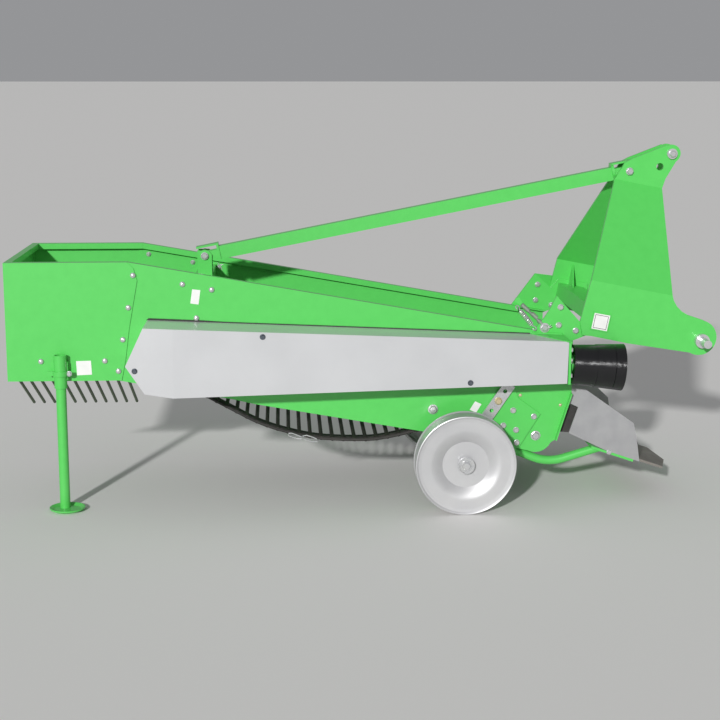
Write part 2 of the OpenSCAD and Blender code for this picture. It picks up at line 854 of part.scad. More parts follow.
module brace_tube() {
  round_y(brace_rear[0], brace_rear[1], brace_d / 2 - 1, -inner_y, -share_out + brace_root);
  difference() {
    // both straights start from the ends of the bend
    translate([brace_rear[0], -share_out + brace_d / 2, brace_rear[1]])
      rotate([90, 0, 0]) rotate(-90 - brace_fall) translate([-brace_bend, brace_rear_len, 0]) {
        rotate_extrude(angle = brace_fall + brace_rise) translate([brace_bend, 0]) circle(d = brace_d);
        translate([brace_bend, 0, 0]) rotate([90, 0, 0]) cylinder(d = brace_d, h = brace_rear_len);
        rotate(brace_fall + brace_rise) translate([brace_bend, -brace_in, 0]) rotate([-90, 0, 0])
          cylinder(d = brace_d - fit, h = brace_front_len + brace_in);
      }
    on_share(blade_t - 100, carrier_t + 100) translate([-300, -tall / 2]) square([600, tall]);
  }
}

module brace_tube_right() {
  part(green) brace_tube();
}

module brace_tube_left() {
  part(green) left() brace_tube();
}

// Pressed wheel: a flat centre, a hollow rise to the outer ring and two rolled lips, turned about Y
flat_r = 77;
flat_y = 22;
ring_r = 120;
ring_y = 5;
rise_steps = 8;
disc_t = 5;
tread_in = 3;
hub_r = 24;
hub_end = 80;
function rise_at(k) = [flat_r + (ring_r - flat_r) * k / rise_steps,
  flat_y - (flat_y - ring_y) * sin(90 * k / rise_steps)];
lip = [[-19, 4.4], [-9, 3.4], [-5.5, 1.2], [-3, 0], [-1, 0.8], [0, 3], [0, 8]];

module wheel() {
  translate([wheel_x, -wheel_out, wheel_r]) rotate([-90, 0, 0]) {
    difference() {
      rotate_extrude() polygon(concat([[0, flat_y]], [for (k = [0 : rise_steps]) rise_at(k)],
        [for (p = lip) [wheel_r, 0] + p],
        [[wheel_r - tread_in, 8 + tread_in], [wheel_r - tread_in, wheel_w - 8], [wheel_r, wheel_w - 5],
        [wheel_r, wheel_w], [wheel_r - tread_in - disc_t, wheel_w], [wheel_r - tread_in - disc_t, 8 + disc_t],
        [wheel_r + lip[0][0], lip[0][1] + disc_t]],
        [for (k = [rise_steps : -1 : 0]) rise_at(k) + [0, disc_t]], [[hub_r, flat_y + disc_t], [hub_r, hub_end],
        [0, hub_end]]));
      cylinder(r = axle_d / 2 + seat, h = 4 * wheel_w, center = true);
    }
  }
}

module wheel_right() {
  part(steel) wheel();
}

module wheel_left() {
  part(steel) left() wheel();
}

// Flat leg from the clamp down to the axle; the axle ends in a sleeve and a washer
leg_top = [1676, 409];
leg_hole = 30;
leg_hole_r = 7;
leg_hole_pitch = 40;
play = 0.5;
sleeve_r = 23;
washer_r = 28;
washer_t = 3;
washer_y = 3;
collar_out = 20;

module wheel_leg() {
  a = [wheel_x, wheel_r];
  d = (leg_top - a) / norm(leg_top - a);
  y = half_w + gusset_t;
  difference() {
    slab(-y - leg_t, -y) union() {
      translate(a) circle(d = leg_w);
      translate(a) rotate(atan2(d[1], d[0])) translate([0, -leg_w / 2]) square([norm(leg_top - a), leg_w]);
    }
    for (k = [0 : 2]) {
      hole = leg_top - d * (leg_hole + k * leg_hole_pitch);
      round_y(hole[0], hole[1], leg_hole_r, -y - leg_t - 1, -y + 1);
    }
  }
  round_y(wheel_x, wheel_r, axle_d / 2, -wheel_out + play, -y - leg_t);
  round_y(wheel_x, wheel_r, washer_r, -wheel_out + washer_y, -wheel_out + washer_y + washer_t);
  round_y(wheel_x, wheel_r, sleeve_r, -wheel_out + washer_y, -wheel_out + flat_y - play);
  round_y(wheel_x, wheel_r, collar_out, -wheel_out + hub_end + play, -y - leg_t);
}

module wheel_leg_right() {
  part(steel) wheel_leg();
}

module wheel_leg_left() {
  part(steel) left() wheel_leg();
}

// Plate that holds the leg on the side plate
clamp_outline = [[1713, 191], [1782, 302], [1758, 320], [1707, 357], [1690, 400], [1610, 330], [1630, 250]];

module leg_clamp() {
  slab(-half_w - gusset_t, -half_w) polygon(clamp_outline);
}

module leg_clamp_right() {
  part(green) leg_clamp();
}

module leg_clamp_left() {
  part(green) left() leg_clamp();
}

// Parking stand on the right side; the foot's middle lies ahead of the leg and further out
stand_wall = 4;
stand_y = -box_out - sleeve_d / 2 - stand_wall;
leg_len = 503;
foot_shift = [10, -20];
foot_rim = 12;
foot_slant = 14;
foot_lip = 3;
foot_inset = 2;
ring_z = 455;
ring_h = 16;
pad_w = 48;
pad_h = 60;
pad_up = 26;

module stand_sleeve() {
  part(green) difference() {
    union() {
      translate([stand_x, stand_y, sleeve_low]) cylinder(d = sleeve_d, h = sleeve_top - sleeve_low);
      translate([stand_x, stand_y, ring_z]) cylinder(d = sleeve_d + 2 * stand_wall, h = ring_h);
      translate([stand_x - pad_w / 2, stand_y, sleeve_low + pad_up]) cube([pad_w, -box_out - stand_y, pad_h]);
    }
    translate([stand_x, stand_y, 0]) cylinder(d = stand_d + 2 * fit, h = tall);
  }
}

module stand_leg() {
  part(green) {
    translate([stand_x + foot_shift[0], stand_y + foot_shift[1], 0]) rotate_extrude()
      polygon([[0, 0], [foot_d / 2 - foot_slant, 0], [foot_d / 2, foot_rim - foot_t + 1],
        [foot_d / 2, foot_rim], [foot_d / 2 - foot_lip, foot_rim],
        [foot_d / 2 - foot_slant - foot_inset, foot_t], [0, foot_t]]);
    translate([stand_x, stand_y, foot_t - 1]) cylinder(d = stand_d, h = leg_len + 1);
  }
}

// Side grate: rods that slope down across the machine from a bar along the right wall;
// beside the side plate's lap the bar is narrower
grate_x = 35;
grate_step = 36;
bar_x = 8;
bar_h = 12;
bar_w = 20;
bar_len = 330;
lap_bar_len = 396;
rod_in = 11;

module tine_grate() {
  part(green) {
    translate([bar_x, -half_w, box_low]) cube([bar_len, bar_w, bar_h]);
    translate([bar_x, -inner_y, box_low]) cube([lap_bar_len, bar_w - sheet_t, bar_h]);
    for (k = [0 : grate_n - 1])
      translate([grate_x + k * grate_step, -half_w + rod_in, box_low + grate_d / 2])
        rotate([-90 - grate_slope, 0, 0]) cylinder(d = grate_d, h = grate_len);
  }
}

side_plate_right();
side_plate_left();
box_side_right();
box_side_left();
box_rear_wall();
cross_member();
strut_bracket();
top_strut();
strut_bolts();
headstock_right();
headstock_left();
cross_beam();
gusset_right();
gusset_left();
lower_pin_right();
lower_pin_left();
top_pin();
drive_cover();
pto_plate();
pto_guard();
pto_shaft();
gearbox();
web();
front_roller();
web_rollers();
drive_shaft();
shaft_bearing();
share_blades();
share_carrier();
share_cheek_right();
share_cheek_left();
brace_tube_right();
brace_tube_left();
wheel_right();
wheel_left();
wheel_leg_right();
wheel_leg_left();
leg_clamp_right();
leg_clamp_left();
stand_sleeve();
stand_leg();
tine_grate();
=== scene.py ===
"""Looks of a rear-mounted potato harvester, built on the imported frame.

The metal parts keep their own CAD shapes and get procedural finishes. The sieving web, the
fasteners, the weld, the wires, the small sheets and the blank plates are made here, and what
repeats comes from Geometry Nodes trees.
"""

import json
import logging
import math
from collections.abc import Sequence
from dataclasses import dataclass
from enum import Enum

import bmesh
import bpy
from mathutils import Matrix, Vector

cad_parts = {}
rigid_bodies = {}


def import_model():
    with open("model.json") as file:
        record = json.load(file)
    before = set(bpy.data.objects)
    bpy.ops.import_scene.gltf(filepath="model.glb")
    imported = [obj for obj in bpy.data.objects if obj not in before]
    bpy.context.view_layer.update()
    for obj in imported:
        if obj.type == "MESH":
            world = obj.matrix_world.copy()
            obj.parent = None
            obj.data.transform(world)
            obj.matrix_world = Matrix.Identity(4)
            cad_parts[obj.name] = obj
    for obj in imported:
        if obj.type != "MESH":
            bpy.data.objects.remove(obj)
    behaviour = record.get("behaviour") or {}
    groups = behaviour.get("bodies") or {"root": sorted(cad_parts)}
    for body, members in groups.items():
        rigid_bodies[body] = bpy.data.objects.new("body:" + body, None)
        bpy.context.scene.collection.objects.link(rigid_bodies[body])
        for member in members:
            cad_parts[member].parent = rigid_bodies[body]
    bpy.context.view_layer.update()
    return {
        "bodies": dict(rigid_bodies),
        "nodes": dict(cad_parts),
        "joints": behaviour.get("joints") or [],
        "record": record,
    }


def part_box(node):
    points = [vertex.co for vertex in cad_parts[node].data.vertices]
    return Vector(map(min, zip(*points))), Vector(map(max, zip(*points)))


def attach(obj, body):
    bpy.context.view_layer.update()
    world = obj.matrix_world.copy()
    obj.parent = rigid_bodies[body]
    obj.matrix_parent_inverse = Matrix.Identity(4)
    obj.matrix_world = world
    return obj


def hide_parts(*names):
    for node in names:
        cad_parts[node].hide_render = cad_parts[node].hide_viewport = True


LOG = logging.getLogger("harvester")

Mesh = bpy.types.Mesh
Node = bpy.types.Node
NodeTree = bpy.types.NodeTree
Outputs = bpy.types.NodeOutputs
Inputs = dict[str | int, object]
Socket = bpy.types.NodeSocket
Corner = bmesh.types.BMVert
Thing = bpy.types.Object
Solid = bmesh.types.BMesh
Point = tuple[float, float, float]
Pair = tuple[float, float]
Outline = Sequence[Pair]
Line = Sequence[Point]

MM = 0.001
MACHINE_LENGTH = 2372.0

# Distances of the plates' faces from the machine's middle plane, in millimetres
WALL_INNER = 296.0
WALL_OUTER = 300.0
BOX_OUTER = 304.0
GUSSET_OUTER = 308.0
HEAD_OUTER = 320.0

# How far a blank plate reaches into what it is stuck to, in millimetres
STUCK = 0.05


def place(x: float, y: float, z: float) -> Vector:
    """Turn millimetres counted from the box's rear face into a place in the frame."""
    return Vector(((x - MACHINE_LENGTH / 2) * MM, y * MM, z * MM))


class Side(Enum):
    """The machine's two sides, with the sign of their Y."""

    RIGHT = -1
    LEFT = 1

    @property
    def label(self) -> str:
        """The side's name as the pieces' names hold it."""
        return self.name.lower()


class Body(Enum):
    """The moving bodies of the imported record."""

    CHASSIS = "chassis"
    RIGHT_WHEEL = "right_wheel"
    LEFT_WHEEL = "left_wheel"
    INPUT_SHAFT = "input_shaft"
    STAND = "parking_stand"


# Node trees


class Net:
    """A node tree under construction, whose nodes' type names start with the prefix."""

    prefix = ""

    def __init__(self, tree: NodeTree) -> None:
        """Take a tree."""
        self.tree = tree

    def fill(self, node: Node, inputs: Inputs) -> None:
        """Set a node's inputs.

        Args:
            node: The node.
            inputs: A value or a socket to link for each input, by name or number.
        """
        for key, value in inputs.items():
            if isinstance(value, Socket):
                self.tree.links.new(value, node.inputs[key])
            else:
                node.inputs[key].default_value = value

    def node(self, kind: str, inputs: Inputs | None = None, **settings: object) -> Outputs:
        """Add a node.

        Args:
            kind: The node's type name, after the prefix or from Function on.
            inputs: What fill gives to its inputs.
            settings: Properties of the node to set.

        Returns:
            The node's outputs.
        """
        full = kind if kind.startswith("Function") else self.prefix + kind
        made = self.tree.nodes.new(full)
        for key, value in settings.items():
            setattr(made, key, value)
        self.fill(made, inputs or {})
        return made.outputs


class ShaderNet(Net):
    """A shader node tree under construction."""

    prefix = "ShaderNode"

    def noise(self, vector: Socket, scale: Socket | float, detail: float) -> Socket:
        """Return a noise texture's value at the coordinates."""
        return self.node("TexNoise", {"Vector": vector, "Scale": scale, "Detail": detail})["Fac"]

    def ramp(self, value: Socket, low: float, high: float) -> Socket:
        """Stretch a value so that low becomes 0 and high becomes 1, without overshoot."""
        return self.node("MapRange", {"Value": value, "From Min": low, "From Max": high})[0]

    def combine(self, operation: str, first: Socket, second: Socket | float) -> Socket:
        """Return the result of a math operation, by Blender's name for it."""
        return self.node("Math", {0: first, 1: second}, operation=operation)[0]

    def blend(self, factor: Socket, first: Socket | Point, second: Socket | Point) -> Socket:
        """Mix two colours, each a socket or a linear colour, by the second one's share."""
        # Inputs 6 and 7 and output 2 are the mix node's colours
        ends = [(*end, 1.0) if isinstance(end, tuple) else end for end in (first, second)]
        return self.node("Mix", {"Factor": factor, 6: ends[0], 7: ends[1]}, data_type="RGBA")[2]


class ShaderGroup:
    """A shader node group with named sockets, built once."""

    name = "shader_group"
    inputs: dict[str, float] = {}
    outputs: Sequence[str] = ()

    @classmethod
    def use(cls, net: Net, values: dict[str, float]) -> Outputs:
        """Place the group in a material's tree, with the given inputs, and return its outputs."""
        return net.node("Group", values, node_tree=cls.tree())

    @classmethod
    def tree(cls) -> NodeTree:
        """Make the group on the first call.

        Returns:
            Its node tree.
        """
        found = bpy.data.node_groups.get(cls.name)
        if found:
            return found
        tree = bpy.data.node_groups.new(cls.name, "ShaderNodeTree")
        face, kind = tree.interface, "NodeSocketFloat"
        for label, value in cls.inputs.items():
            face.new_socket(label, in_out="INPUT", socket_type=kind).default_value = value
        for label in cls.outputs:
            face.new_socket(label, in_out="OUTPUT", socket_type=kind)
        net = ShaderNet(tree)
        results = cls.wire(net, tree.nodes.new("NodeGroupInput").outputs)
        net.fill(tree.nodes.new("NodeGroupOutput"), results)
        return tree

    @classmethod
    def wire(cls, net: ShaderNet, given: Outputs) -> dict[str, Socket]:
        """Add the group's nodes and return what goes to each of its outputs."""
        raise NotImplementedError


class Grain(ShaderGroup):
    """Fine and broad surface variation, with a height for bump."""

    name = "surface_grain"
    inputs = {"Fine Scale": 900.0, "Broad Scale": 6.0, "Stretch": 1.0}
    outputs = ("Fine", "Broad", "Height")
    fine_detail = 2.0
    broad_detail = 4.0
    fine_height = 0.3

    @classmethod
    def wire(cls, net: ShaderNet, given: Outputs) -> dict[str, Socket]:
        """Mix a fine and a broad noise, the fine one stretched along the machine.

        Args:
            net: The group's tree.
            given: Its inputs.

        Returns:
            What goes to each output.
        """
        where = net.node("TexCoord")["Object"]
        scale = net.node("CombineXYZ", {"X": given["Stretch"], "Y": 1.0, "Z": 1.0})[0]
        stretched = net.node("VectorMath", {0: where, 1: scale}, operation="MULTIPLY")[0]
        fine = net.noise(stretched, given["Fine Scale"], cls.fine_detail)
        broad = net.noise(where, given["Broad Scale"], cls.broad_detail)
        low = net.combine("MULTIPLY", fine, cls.fine_height)
        return {"Fine": fine, "Broad": broad, "Height": net.combine("ADD", low, broad)}


class Wear(ShaderGroup):
    """Masks of yard dust near the ground and of thin scratches."""

    name = "yard_wear"
    inputs = {"Dust Top": 0.32, "Dust Amount": 0.25, "Scratch Scale": 26.0,
              "Scratch Amount": 0.4}
    outputs = ("Dust", "Scratch")
    cloud_scale = 14.0
    cloud_detail = 5.0
    cloud_range = (0.35, 0.7)
    streak_detail = 2.0
    streak_turn = (0.3, 0.5, 0.2)
    streak_stretch = (1.0, 14.0, 14.0)
    streak_range = (0.72, 0.78)

    @classmethod
    def wire(cls, net: ShaderNet, given: Outputs) -> dict[str, Socket]:
        """Fade broken dust out with height, and cut scratches out of a stretched noise.

        Args:
            net: The group's tree.
            given: Its inputs.

        Returns:
            What goes to each output.
        """
        where = net.node("TexCoord")["Object"]
        height = net.node("SeparateXYZ", {"Vector": where})["Z"]
        low = net.ramp(net.combine("DIVIDE", height, given["Dust Top"]), 1.0, 0.0)
        cloud = net.noise(where, cls.cloud_scale, cls.cloud_detail)
        broken = net.combine("MULTIPLY", low, net.ramp(cloud, *cls.cloud_range))
        turned = net.node("Mapping", {
            "Vector": where, "Rotation": cls.streak_turn, "Scale": cls.streak_stretch})[0]
        streak = net.noise(turned, given["Scratch Scale"], cls.streak_detail)
        line = net.ramp(streak, *cls.streak_range)
        return {
            label: net.combine("MULTIPLY", mask, given[label + " Amount"])
            for label, mask in (("Dust", broken), ("Scratch", line))
        }


# Finishes

DUST_COLOUR: Point = (0.36, 0.31, 0.25)
COAT_ROUGHNESS = 0.1
SCRATCH_ROUGHNESS = 0.25
SHADE_RANGE: Pair = (0.3, 0.7)


@dataclass(frozen=True)
class Finish:
    """A procedural finish on the Principled shader, for pieces of one material slot."""

    name: str
    slot: str
    colour: Point
    shade: Point
    metallic: float = 0.0
    roughness: float = 0.4
    roughness_spread: float = 0.1
    fine_scale: float = 900.0
    broad_scale: float = 6.0
    stretch: float = 1.0
    bump: float = 0.02
    bump_distance: float = 0.0004
    dust: float = 0.2
    scratch: float = 0.2
    coat: float = 0.0

    def material(self) -> bpy.types.Material:
        """Make the finish on the first call.

        Returns:
            Its Blender material.
        """
        found = bpy.data.materials.get(self.name)
        if found:
            return found
        made = bpy.data.materials.new(self.name)
        made.use_nodes = True
        net = ShaderNet(made.node_tree)
        grain = Grain.use(net, {"Fine Scale": self.fine_scale, "Broad Scale": self.broad_scale,
                                "Stretch": self.stretch})
        wear = Wear.use(net, {"Dust Amount": self.dust, "Scratch Amount": self.scratch})
        clean = net.blend(net.ramp(grain["Broad"], *SHADE_RANGE), self.colour, self.shade)
        spread = net.combine("MULTIPLY", grain["Fine"], self.roughness_spread)
        rough = net.combine("ADD", spread, self.roughness)
        torn = net.combine("MULTIPLY", wear["Scratch"], SCRATCH_ROUGHNESS)
        worn = net.combine("ADD", rough, torn)
        bump = net.node("Bump", {"Strength": self.bump, "Distance": self.bump_distance,
                                 "Height": grain["Height"]})
        net.fill(made.node_tree.nodes["Principled BSDF"], {
            "Base Color": net.blend(wear["Dust"], clean, DUST_COLOUR),
            "Metallic": self.metallic,
            "Roughness": net.combine("ADD", worn, wear["Dust"]),
            "Normal": bump["Normal"],
            "Coat Weight": self.coat,
            "Coat Roughness": COAT_ROUGHNESS})
        return made


GREEN = Finish(
    "green_enamel", "green_paint", (0.092, 0.585, 0.101), (0.085, 0.562, 0.094),
    roughness=0.34, roughness_spread=0.05, bump=0.06, bump_distance=0.0005, broad_scale=34.0,
    dust=0.05, scratch=0.1, coat=0.25)
SILVER = Finish(
    "silver_sheet", "galvanised_sheet", (0.61, 0.615, 0.625), (0.565, 0.57, 0.58),
    metallic=0.3, roughness=0.30, roughness_spread=0.14, fine_scale=1400.0, broad_scale=5.0,
    stretch=0.08, bump=0.04, dust=0.06, scratch=0.25)
WHEEL = Finish(
    "wheel_sheet", "galvanised_sheet", (0.60, 0.60, 0.605), (0.55, 0.55, 0.56),
    metallic=0.5, roughness=0.34, broad_scale=12.0, bump=0.04, dust=0.1)
CHEEK = Finish(
    "share_sheet", "galvanised_sheet", (0.39, 0.39, 0.395), (0.335, 0.335, 0.345),
    metallic=0.35, roughness_spread=0.15, broad_scale=18.0, bump=0.12, bump_distance=0.0005,
    dust=0.12, scratch=0.4)
ZINC = Finish(
    "zinc_plate", "zinc_steel", (0.68, 0.68, 0.67), (0.58, 0.59, 0.61),
    metallic=0.65, roughness=0.22, roughness_spread=0.12, broad_scale=40.0, bump=0.05,
    dust=0.05)
DARK_ZINC = Finish(
    "dark_zinc", "zinc_steel", (0.20, 0.22, 0.25), (0.15, 0.17, 0.20),
    metallic=0.9, roughness=0.2, broad_scale=40.0, bump=0.05, dust=0.0)
YELLOW_ZINC = Finish(
    "yellow_zinc", "zinc_steel", (0.68, 0.56, 0.33), (0.58, 0.51, 0.37),
    metallic=0.5, roughness=0.28, broad_scale=60.0, dust=0.05)
DULL = Finish(
    "dull_zinc", "zinc_steel", (0.34, 0.42, 0.33), (0.26, 0.33, 0.26),
    metallic=0.5, broad_scale=50.0, bump=0.1)
BARE = Finish(
    "worn_steel", "bare_steel", (0.19, 0.175, 0.16), (0.27, 0.25, 0.225),
    metallic=0.5, roughness=0.42, roughness_spread=0.2, broad_scale=22.0, bump=0.25,
    bump_distance=0.0008, dust=0.3, scratch=0.6)
# The tine grate's green paint, darkened as painted shade of the box standing over it
TINE_PAINTED_SHADE = Finish(
    "tine_paint", "green_paint", (0.050, 0.095, 0.026), (0.036, 0.062, 0.020),
    metallic=0.1, roughness=0.42, broad_scale=40.0, bump=0.1, dust=0.1)
CASTING = Finish(
    "grey_casting", "cast_housing", (0.16, 0.16, 0.165), (0.11, 0.11, 0.115),
    metallic=0.3, roughness=0.55, broad_scale=50.0, bump=0.5, bump_distance=0.0010)
GUARD = Finish(
    "black_guard", "black_plastic", (0.004, 0.004, 0.005), (0.006, 0.006, 0.007),
    roughness=0.20, roughness_spread=0.04, fine_scale=40.0, broad_scale=20.0, stretch=20.0,
    bump=1.0, bump_distance=0.002, dust=0.0, scratch=0.05)
RUBBER = Finish(
    "belt_rubber", "web_rubber", (0.022, 0.021, 0.020), (0.035, 0.032, 0.030),
    roughness=0.62, roughness_spread=0.2, broad_scale=45.0, bump=0.3, bump_distance=0.0010,
    dust=0.15)
ROD_STEEL = Finish(
    "rod_steel", "web_rubber", (0.030, 0.028, 0.026), (0.060, 0.054, 0.048),
    metallic=0.5, roughness=0.5, roughness_spread=0.2, broad_scale=60.0, bump=0.2, dust=0.1)
BORDER = Finish(
    "dark_border", "green_paint", (0.03, 0.04, 0.03), (0.04, 0.05, 0.04),
    roughness=0.5, dust=0.0)
STICKER = Finish(
    "blank_sticker", "green_paint", (0.82, 0.82, 0.80), (0.76, 0.76, 0.74),
    roughness=0.5, broad_scale=30.0, dust=0.0)


# Mesh helpers

# Corners closer than this, in metres, become one
MERGE = 1e-6
# Faces that meet at a smaller angle, in degrees, are shaded smooth
SMOOTH_ANGLE = 35


def add(thing: Thing) -> Thing:
    """Link an object to the scene and return it."""
    bpy.context.scene.collection.objects.link(thing)
    return thing


def mesh_object(name: str, mesh: Mesh, finish: Finish, body: Body = Body.CHASSIS) -> Thing:
    """Link a finished mesh to the scene, dress it and let it ride.

    Args:
        name: The piece's name.
        mesh: Its mesh, already in place.
        finish: Its finish.
        body: The body that it rides on.

    Returns:
        The new object.
    """
    thing = add(bpy.data.objects.new(name, mesh))
    if not mesh.materials:
        mesh.materials.append(finish.material())
    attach(thing, body.value)
    LOG.info("%s: %d faces", name, len(mesh.polygons))
    return thing


def from_bmesh(name: str, shape: Solid, smooth: bool = True) -> Mesh:
    """Turn a bmesh into a mesh with outward faces.

    Args:
        name: The mesh's name.
        shape: The bmesh, which is freed.
        smooth: Whether faces are shaded smooth up to SMOOTH_ANGLE.

    Returns:
        The mesh.
    """
    bmesh.ops.remove_doubles(shape, verts=shape.verts, dist=MERGE)
    bmesh.ops.recalc_face_normals(shape, faces=shape.faces)
    mesh = bpy.data.meshes.new(name)
    shape.to_mesh(mesh)
    shape.free()
    if smooth:
        mesh.shade_smooth()
        mesh.set_sharp_from_angle(angle=math.radians(SMOOTH_ANGLE))
    return mesh


def flat_piece(name: str, shape: Solid, finish: Finish) -> None:
    """Make a flat-shaded piece of the chassis from a bmesh."""
    mesh_object(name, from_bmesh(name, shape, smooth=False), finish)


def absorb(shape: Solid, other: Solid) -> None:
    """Copy a bmesh into another and free it.

    Args:
        shape: The bmesh that grows.
        other: The bmesh to copy.
    """
    mesh = bpy.data.meshes.new("joined")
    other.to_mesh(mesh)
    other.free()
    shape.from_mesh(mesh)
    bpy.data.meshes.remove(mesh)


def ring(shape: Solid, centre: Vector, first: Vector, second: Vector,
         steps: int) -> list[Corner]:
    """Add a ring of corners to a bmesh.

    Args:
        shape: The bmesh.
        centre: The ring's middle.
        first: The half axis where the ring starts.
        second: The other half axis.
        steps: The number of corners.

    Returns:
        The corners in order.
    """
    return [
        shape.verts.new(centre + math.cos(a) * first + math.sin(a) * second)
        for a in (2 * math.pi * k / steps for k in range(steps))
    ]


def level_ring(shape: Solid, radius: float, height: float, steps: int) -> list[Corner]:
    """Add a round ring about Z."""
    return ring(shape, Vector((0, 0, height)), Vector((radius, 0, 0)),
                Vector((0, radius, 0)), steps)


def bridge(shape: Solid, rings: Sequence[Sequence[Corner]], lids: bool) -> None:
    """Put faces between rings that follow each other.

    Args:
        shape: The solid to add to.
        rings: The rings, with as many corners each.
        lids: Whether the first and the last ring are closed by a face.
    """
    for low, high in zip(rings, rings[1:]):
        for k in range(len(low)):
            after = (k + 1) % len(low)
            face = list(dict.fromkeys([low[k], low[after], high[after], high[k]]))
            if len(face) > 2:
                shape.faces.new(face)
    if lids:
        shape.faces.new(list(reversed(rings[0])))
        shape.faces.new(rings[-1])


def revolve(profile: Outline, steps: int) -> Solid:
    """Turn a closed profile of (radius, height) pairs about Z.

    Args:
        profile: The outline, in metres, from the axis and back to it.
        steps: The number of facets round the axis.

    Returns:
        The turned solid.
    """
    shape = bmesh.new()
    bridge(shape, [
        level_ring(shape, radius, height, steps) if radius
        else [shape.verts.new((0, 0, height))] * steps
        for radius, height in profile
    ], lids=False)
    return shape


def slab(outline: Outline, y0: float, y1: float) -> Solid:
    """Extrude a side view outline across the machine.

    Args:
        outline: Its corners as (x, z) in millimetres from the rear face.
        y0: One side's Y in millimetres.
        y1: The other side's Y in millimetres.

    Returns:
        The solid.
    """
    shape = bmesh.new()
    rings = [[shape.verts.new(place(x, y, z)) for x, z in outline] for y in (y0, y1)]
    bridge(shape, rings, lids=True)
    return shape


def sweep(path: Sequence[Vector], radius: float, sides: int) -> Solid:
    """Run a round wire along a path.

    Args:
        path: The wire's middle line, in metres.
        radius: The wire's radius in metres.
        sides: The number of facets round it.

    Returns:
        The closed wire.
    """
    shape = bmesh.new()
    rings = []
    across = (path[1] - path[0]).orthogonal()
    for k, point in enumerate(path):
        along = (path[min(k + 1, len(path) - 1)] - path[max(k - 1, 0)]).normalized()
        across = (across - along * across.dot(along)).normalized()
        rings.append(ring(shape, point, radius * across, radius * along.cross(across), sides))
    bridge(shape, rings, lids=True)
    return shape


# Geometry Nodes


class Tree(Net):
    """A Geometry Nodes tree under construction, with named inputs."""

    prefix = "GeometryNode"

    def __init__(self, name: str, inputs: dict[str, str]) -> None:
        """Make an empty tree.

        Args:
            name: The tree's name.
            inputs: The kind of socket of each input beside Geometry and Material.
        """
        super().__init__(bpy.data.node_groups.new(name, "GeometryNodeTree"))
        face = self.tree.interface
        self.sockets = {
            label: face.new_socket(
                label, in_out="INPUT", socket_type="NodeSocket" + kind).identifier
            for label, kind in {"Geometry": "Geometry", **inputs, "Material": "Material"}.items()
        }
        face.new_socket("Geometry", in_out="OUTPUT", socket_type="NodeSocketGeometry")
        self.given = self.tree.nodes.new("NodeGroupInput").outputs

    def finish(self, geometry: Socket) -> None:
        """End the tree with realized instances that carry the Material input.

        Args:
            geometry: What the tree has made.
        """
        real = self.node("RealizeInstances", {"Geometry": geometry})
        painted = self.node("SetMaterial", {
            "Geometry": real["Geometry"], "Material": self.given["Material"]})
        sink = self.tree.nodes.new("NodeGroupOutput")
        self.fill(sink, {"Geometry": painted["Geometry"]})

    def finish_copies(self, points: Socket, rotation: Socket) -> None:
        """End the tree with a copy of the Template input on every point.

        Args:
            points: The points.
            rotation: The copies' turn.
        """
        template = self.node("ObjectInfo", {"Object": self.given["Template"]})
        self.finish(self.node("InstanceOnPoints", {
            "Points": points, "Instance": template["Geometry"],
            "Rotation": rotation})["Instances"])

    def bake(self, name: str, start: Mesh, values: dict[str, object]) -> Mesh:
        """Run the tree on a mesh and return the result as a plain mesh.

        Args:
            name: The name of the new mesh.
            start: The mesh that the tree works on.
            values: The value of each named input.

        Returns:
            The plain mesh.
        """
        carrier = add(bpy.data.objects.new(name + "_carrier", start))
        modifier = carrier.modifiers.new("repeat", "NODES")
        modifier.node_group = self.tree
        for label, value in values.items():
            modifier[self.sockets[label]] = value
        bpy.context.view_layer.update()
        evaluated = carrier.evaluated_get(bpy.context.evaluated_depsgraph_get())
        mesh = bpy.data.meshes.new_from_object(evaluated)
        mesh.name = name
        carrier.modifiers.clear()
        bpy.data.objects.remove(carrier)
        return mesh

    def copies(
        self, name: str, start: Mesh, shape: Solid, finish: Finish, **values: object
    ) -> Thing:
        """Make one piece of the copies of a shape that the tree puts along a mesh.

        Args:
            name: The piece's name.
            start: The mesh that the tree works on.
            shape: The solid that is copied.
            finish: The piece's finish.
            values: The tree's other inputs.

        Returns:
            The finished piece.
        """
        template = add(bpy.data.objects.new(name + "_template", from_bmesh(name, shape)))
        mesh = self.bake(
            name, start, {"Template": template, "Material": finish.material(), **values})
        bpy.data.objects.remove(template)
        return mesh_object(name, mesh, finish)


def scatter_tree() -> Tree:
    """Build the tree that puts a template on every point, turned to the point's direction.

    Returns:
        The tree, whose points carry the attributes facing and twist.
    """
    tree = Tree("fastener_scatter", {"Template": "Object"})
    facing = tree.node("InputNamedAttribute", {"Name": "facing"}, data_type="FLOAT_VECTOR")
    twist = tree.node("InputNamedAttribute", {"Name": "twist"}, data_type="FLOAT")
    align = tree.node("FunctionNodeAlignRotationToVector", {"Vector": facing["Attribute"]},
                      axis="Z")
    turn = tree.node("FunctionNodeAxisAngleToRotation", {
        "Axis": (0, 0, 1), "Angle": twist["Attribute"]})
    both = tree.node("FunctionNodeRotateRotation", {
        "Rotation": align["Rotation"], "Rotate By": turn["Rotation"]}, rotation_space="LOCAL")
    tree.finish_copies(tree.given["Geometry"], both["Rotation"])
    return tree


# Fasteners


HEX_SIDES = 6


class Head(Enum):
    """The kinds of fastener that show."""

    HEX = "hex"
    DOME = "dome"
    NUT = "nut"


